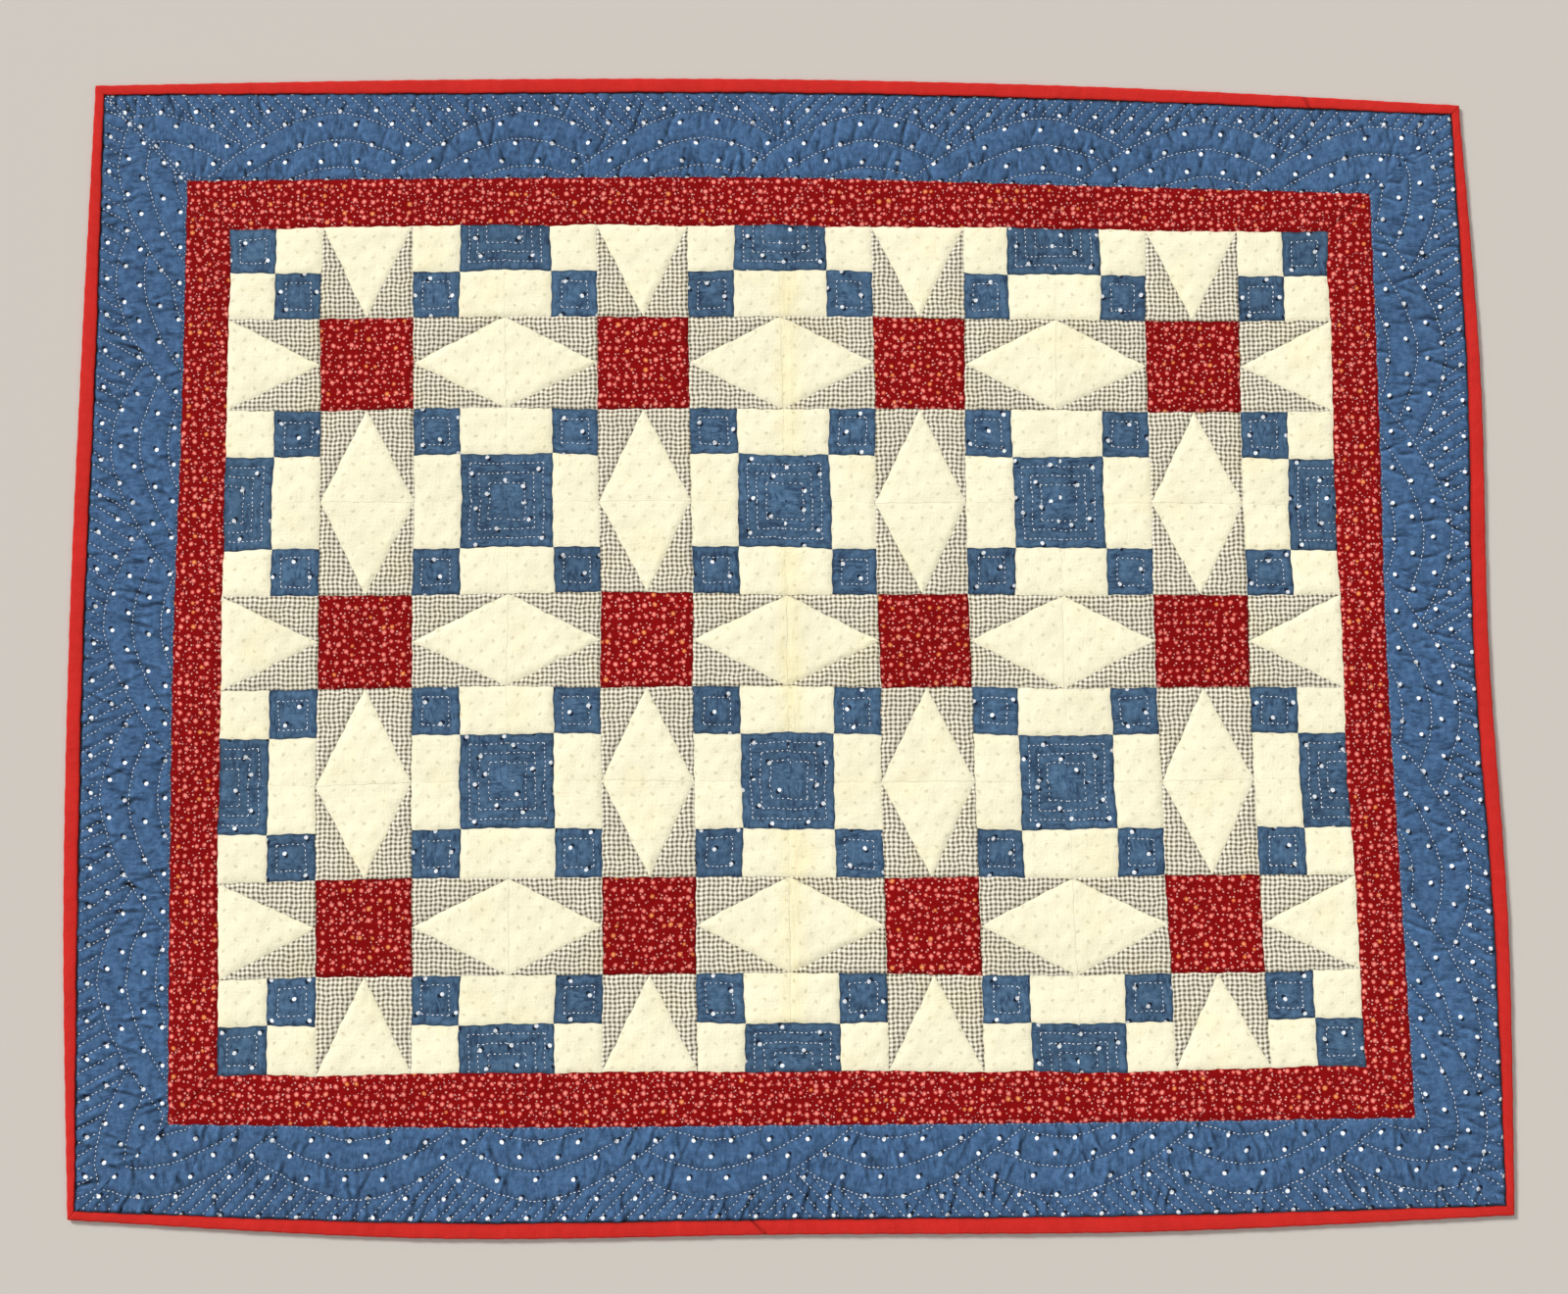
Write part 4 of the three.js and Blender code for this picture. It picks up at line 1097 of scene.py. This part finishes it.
def add_binding(number, material):
    """One run of the folded strip, drawn up a little by its hand sewing, with its join."""
    side = sides[number]
    outward, along = directions(number)
    around = len(binding_profile(binding_width))
    neighbours = [sides[number - 1]["edge"][-1], sides[(number + 1) % 4]["edge"][0]]
    length = sum(neighbours) * mm
    steps = round(length / binding_step)

    def place(shares):
        edge = seam_row(number, "edge", shares[:, 0], mitre_gap, 0)
        seam = seam_row(number, "binding_seam", shares[:, 0], mitre_gap, 0)
        widths = (edge - seam) @ outward
        spots = np.round(shares[:, 1] * around).astype(int) % around
        section = np.array([binding_profile(width)[spot] for width, spot in zip(widths, spots)])
        flat = edge + (seam - edge) * (section[:, :1] / widths[:, None])
        run = edge @ along
        top = smooth_step(section[:, 1], 2 * mm, 3 * mm)
        drawn = 0.06 * gathers(run, 2.1 * mm, 17 * mm) + 0.12 * np.sin(run / (9 * mm))
        lip = smooth_step(section[:, 0] / widths, 0.2, 1) * top
        sway = 0.2 * mm * np.sin(run / (13 * mm) + number) * lip
        flat = flat - np.outer(sway, outward)
        height = section[:, 1] + drawn * mm * top
        # Painted light and shade: paler where the gathers stand up, and a dark line of painted shade on the
        # lip's inner wall.
        tone = 0.5 + 0.25 * drawn - 1.1 * smooth_step(section[:, 0] / widths, 0.9, 1)
        if side["binding_join"] is not None:
            join = (run - side["binding_join"] * mm - section[:, 0]) / join_width
            height = height - join_depth * np.exp(-join ** 2) * top
            tone = tone - np.exp(-join ** 2)
        threads = np.column_stack([run, section[:, 0] + section[:, 1], tone])
        return np.column_stack([settled(flat, 0.4), height]), threads

    cloth = new_cloth()
    stretch_cloth(cloth, [steps, around], place)
    bmesh.ops.remove_doubles(cloth, verts=cloth.verts, dist=0.001 * mm)
    for face in cloth.faces:
        face.smooth = True
    bmesh.ops.holes_fill(cloth, edges=[edge for edge in cloth.edges if edge.is_boundary], sides=0)
    bmesh.ops.recalc_face_normals(cloth, faces=cloth.faces)
    node = "binding_" + side["name"]
    piece = add_piece(node + "_cloth", cloth, material, [node])


binding_cotton = make_binding_cotton()
for number in range(4):
    add_binding(number, binding_cotton)

# Quilting stitches
# White cotton thread in a running stitch through all the layers, about eight stitches to the
# inch, and finer stitches in the ditch along the narrow border. Each kind of stitch is given
# as the length and width of thread that shows.
stitch_pitch = 3 * mm
patch_stitch = (1.8 * mm, 0.75 * mm)
border_stitch = (1.8 * mm, 0.72 * mm)
ditch_stitch = (0.9 * mm, 0.5 * mm)
ditch_pitch = 3.5 * mm
ditch_aside = 0.7 * mm
zigzag_stitch = (0.8 * mm, 0.35 * mm)
zigzag_pitch = 3.2 * mm
zigzag_step = 22.6 * mm


def make_thread():
    """Off-white cotton quilting thread, matt and slightly waxy, dimpled by its twist."""
    material = bpy.data.materials.new("cotton quilting thread")
    material.use_nodes = True
    shader = material.node_tree.nodes["Principled BSDF"]
    place = add_node(material, "TexCoord", {}, {})["Object"]
    soiled = add_node(material, "TexNoise", {}, {"Vector": place, "Scale": 1 / (30 * mm)})[0]
    whites = {0: soiled, 6: hex_colour("#eaf0fa"), 7: hex_colour("#ffffff")}
    colour = add_node(material, "Mix", as_ink, whites)[2]
    twist = add_node(material, "TexNoise", {}, {"Vector": place, "Scale": 1 / (0.3 * mm)})[0]
    bump = add_node(material, "Bump", {}, {"Strength": 0.4, "Distance": 0.05 * mm, "Height": twist})[0]
    shader.inputs["Roughness"].default_value = 0.75
    material.node_tree.links.new(colour, shader.inputs["Base Color"])
    material.node_tree.links.new(bump, shader.inputs["Normal"])
    return material


def stitch_shape(length, width):
    """One stitch, a short rounded length of thread with its ends going down."""
    bm = bmesh.new()
    bmesh.ops.create_icosphere(bm, subdivisions=1, radius=0.5)
    points = np.array([vert.co for vert in bm.verts])
    faces = np.array([[vert.index for vert in face.verts] for face in bm.faces])
    bm.free()
    points = points * (length, width, 0.7 * width)
    points[:, 2] -= 0.25 * width * (2 * points[:, 0] / length) ** 2
    return points, faces


def lay_stitches(name, lines, cloth, stitch, pitch, chance):
    """Running stitches along lines, each one laid on the cloth under it."""
    tree = BVHTree.FromBMesh(cloth)
    length, width = stitch

    def lie(spot):
        """Height of the cloth at a spot, or None off its edge."""
        hit = tree.ray_cast(Vector((*spot, 10 * mm)), Vector((0, 0, -1)))[0]
        return None if hit is None else hit.z

    shape, faces = stitch_shape(length, width)
    corners = []
    for line in lines:
        places, runs = resampled(settled(line), 0.5 * mm)
        if runs[-1] < pitch:
            continue
        count = int(runs[-1] // pitch)
        for middle in (np.arange(count) + 0.5) * runs[-1] / count:
            middle += chance.uniform(-0.25, 0.25) * mm
            ends = [np.array([np.interp(middle + step, runs, places[:, axis]) for axis in (0, 1)])
                    for step in (-length / 2, length / 2)]
            levels = [lie(end) for end in ends]
            if None in levels:
                continue
            start = np.append(ends[0], levels[0])
            way = np.append(ends[1], levels[1]) - start
            centre = start + way / 2
            centre[2] = max(centre[2], lie(centre[:2]) or 0) + width * chance.uniform(0, 0.25)
            way = way / np.linalg.norm(way)
            beside = np.cross((0, 0, 1), way)
            beside = beside / np.linalg.norm(beside)
            turned = shape @ np.array([way, beside, np.cross(way, beside)])
            turned = turned * chance.uniform(0.75, 1.1)
            corners.append(turned + centre)
    points = np.concatenate(corners)
    starts = np.arange(len(corners))[:, None, None] * len(shape)
    mesh = bpy.data.meshes.new(name)
    mesh.from_pydata(points.tolist(), [], (faces[None] + starts).reshape(-1, 3).tolist())
    mesh.shade_smooth()
    mesh.materials.append(thread)
    piece = bpy.data.objects.new(name, mesh)
    bpy.context.scene.collection.objects.link(piece)
    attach(piece, "root")
    return piece


def zigzag(number):
    """The line of a narrow border's quilting, from seam to seam and back along the side."""
    strip = strip_between(number, "patchwork", seam_gap, "border_seam", -seam_gap)
    turns = round(units_along(number) * unit / zigzag_step)
    shares = np.linspace(0.01, 0.99, 20 * turns + 1)
    swung = 0.5 + 0.42 * (2 * np.abs(np.mod(shares * turns / 2, 1) * 2 - 1) - 1)
    return strip(np.column_stack([shares, swung]))


thread = make_thread()
chance = random.Random(73)
lay_stitches("patch_stitches", blue_lines, blue, patch_stitch, stitch_pitch, chance)
for number, side in enumerate(sides):
    cloth = outer_borders[number]
    name = side["name"] + "_border_stitches"
    lay_stitches(name, outer_lines[number], cloth, border_stitch, stitch_pitch, chance)
    ditch = [seam_row(number, "border_seam", np.linspace(0.002, 0.998, 400), mitre_gap, ditch_aside)]
    name = side["name"] + "_ditch_stitches"
    lay_stitches(name, ditch, cloth, ditch_stitch, ditch_pitch, chance)
    cloth = inner_borders[number]
    name = side["name"] + "_zigzag_stitches"
    lay_stitches(name, [zigzag(number)], cloth, zigzag_stitch, zigzag_pitch, chance)

# Back
# The photograph doesn't show the other face, so it is a plain cream cotton cloth under the
# whole quilt, which ends under the folded binding.
back_thickness = 0.7 * mm
back_inset = 0.4 * mm


def make_back_cotton():
    """Plain unprinted cream cotton: an even warm cream, with the faint specks of a cloth
    that isn't fully bleached."""
    material, flat, tone = start_cotton("plain cream cotton")
    specks = noise_on(material, flat, 1.5 * mm, 4.0)
    dyes = {0: specks, 6: hex_colour("#efe6cc"), 7: hex_colour("#f7efd8")}
    colour = add_node(material, "Mix", as_ink, dyes)[2]
    return finish_cotton(material, flat, tone, colour, slub=0.03)


def back_rim(number, shares):
    """Places on the rim of the back cloth along one side, going clockwise."""
    return seam_row(number, "binding_seam", shares, 0, -back_inset)


def back_place(shares):
    """Points of the back cloth, stretched between its four rims, and their threads."""
    across, along = shares[:, 0], shares[:, 1]
    rims = [back_rim(number, way) for number, way in enumerate((across, 1 - along, 1 - across, along))]
    corners = [back_rim(number, np.zeros(1)) for number in range(4)]
    x, y = shares[:, :1], shares[:, 1:]
    flat = rims[2] * (1 - y) + rims[0] * y + rims[3] * (1 - x) + rims[1] * x
    flat = flat - between_corners(shares, [corners[3], corners[2], corners[1], corners[0]])
    points = np.column_stack([settled(flat), np.full(len(flat), back_thickness)])
    return points, np.column_stack([flat, np.full(len(flat), 0.5)])


back = new_cloth()
stretch_cloth(back, [60, 48], back_place)
close_underneath(back, 0)
quilt_back = add_piece("quilt_back", back, make_back_cotton(), [whole_centre])

# Floor and lights
# A plain pale floor in matt paint just under the quilt, a broad soft light from the upper
# left, a weaker and softer one opposite, and a little even light from a white sky.
floor_mesh = bpy.data.meshes.new("floor")
floor_form = bmesh.new()
bmesh.ops.create_grid(floor_form, x_segments=1, y_segments=1, size=6)
bmesh.ops.translate(floor_form, verts=floor_form.verts, vec=(0, 0, -0.3 * mm))
floor_form.to_mesh(floor_mesh)
floor = bpy.data.objects.new("floor", floor_mesh)
bpy.context.scene.collection.objects.link(floor)
paint = bpy.data.materials.new("matt painted floor")
paint.use_nodes = True
paint.node_tree.nodes["Principled BSDF"].inputs["Base Color"].default_value = hex_colour("#cfc9c0")
paint.node_tree.nodes["Principled BSDF"].inputs["Roughness"].default_value = 0.9
floor_mesh.materials.append(paint)
floor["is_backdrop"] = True

lamps = (
    ("main_light", (1, -1, -0.9), 14, 3.1),
    ("fill_light", (-1, 1, -2), 60, 0.55),
)
for name, towards, softness, strength in lamps:
    lamp = bpy.data.lights.new(name, "SUN")
    lamp.angle = math.radians(softness)
    lamp.energy = strength
    light = bpy.data.objects.new(name, lamp)
    light.rotation_euler = Vector(towards).to_track_quat("-Z", "Y").to_euler()
    bpy.context.scene.collection.objects.link(light)
world = bpy.data.worlds.new("studio")
world.use_nodes = True
world.node_tree.nodes["Background"].inputs["Color"].default_value = (1, 1, 1, 1)
world.node_tree.nodes["Background"].inputs["Strength"].default_value = 0.32
bpy.context.scene.world = world

boxes = {"cad": cad_box, "visual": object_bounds()}
{name: [[float(value) for value in corner] for corner in box] for name, box in boxes.items()}
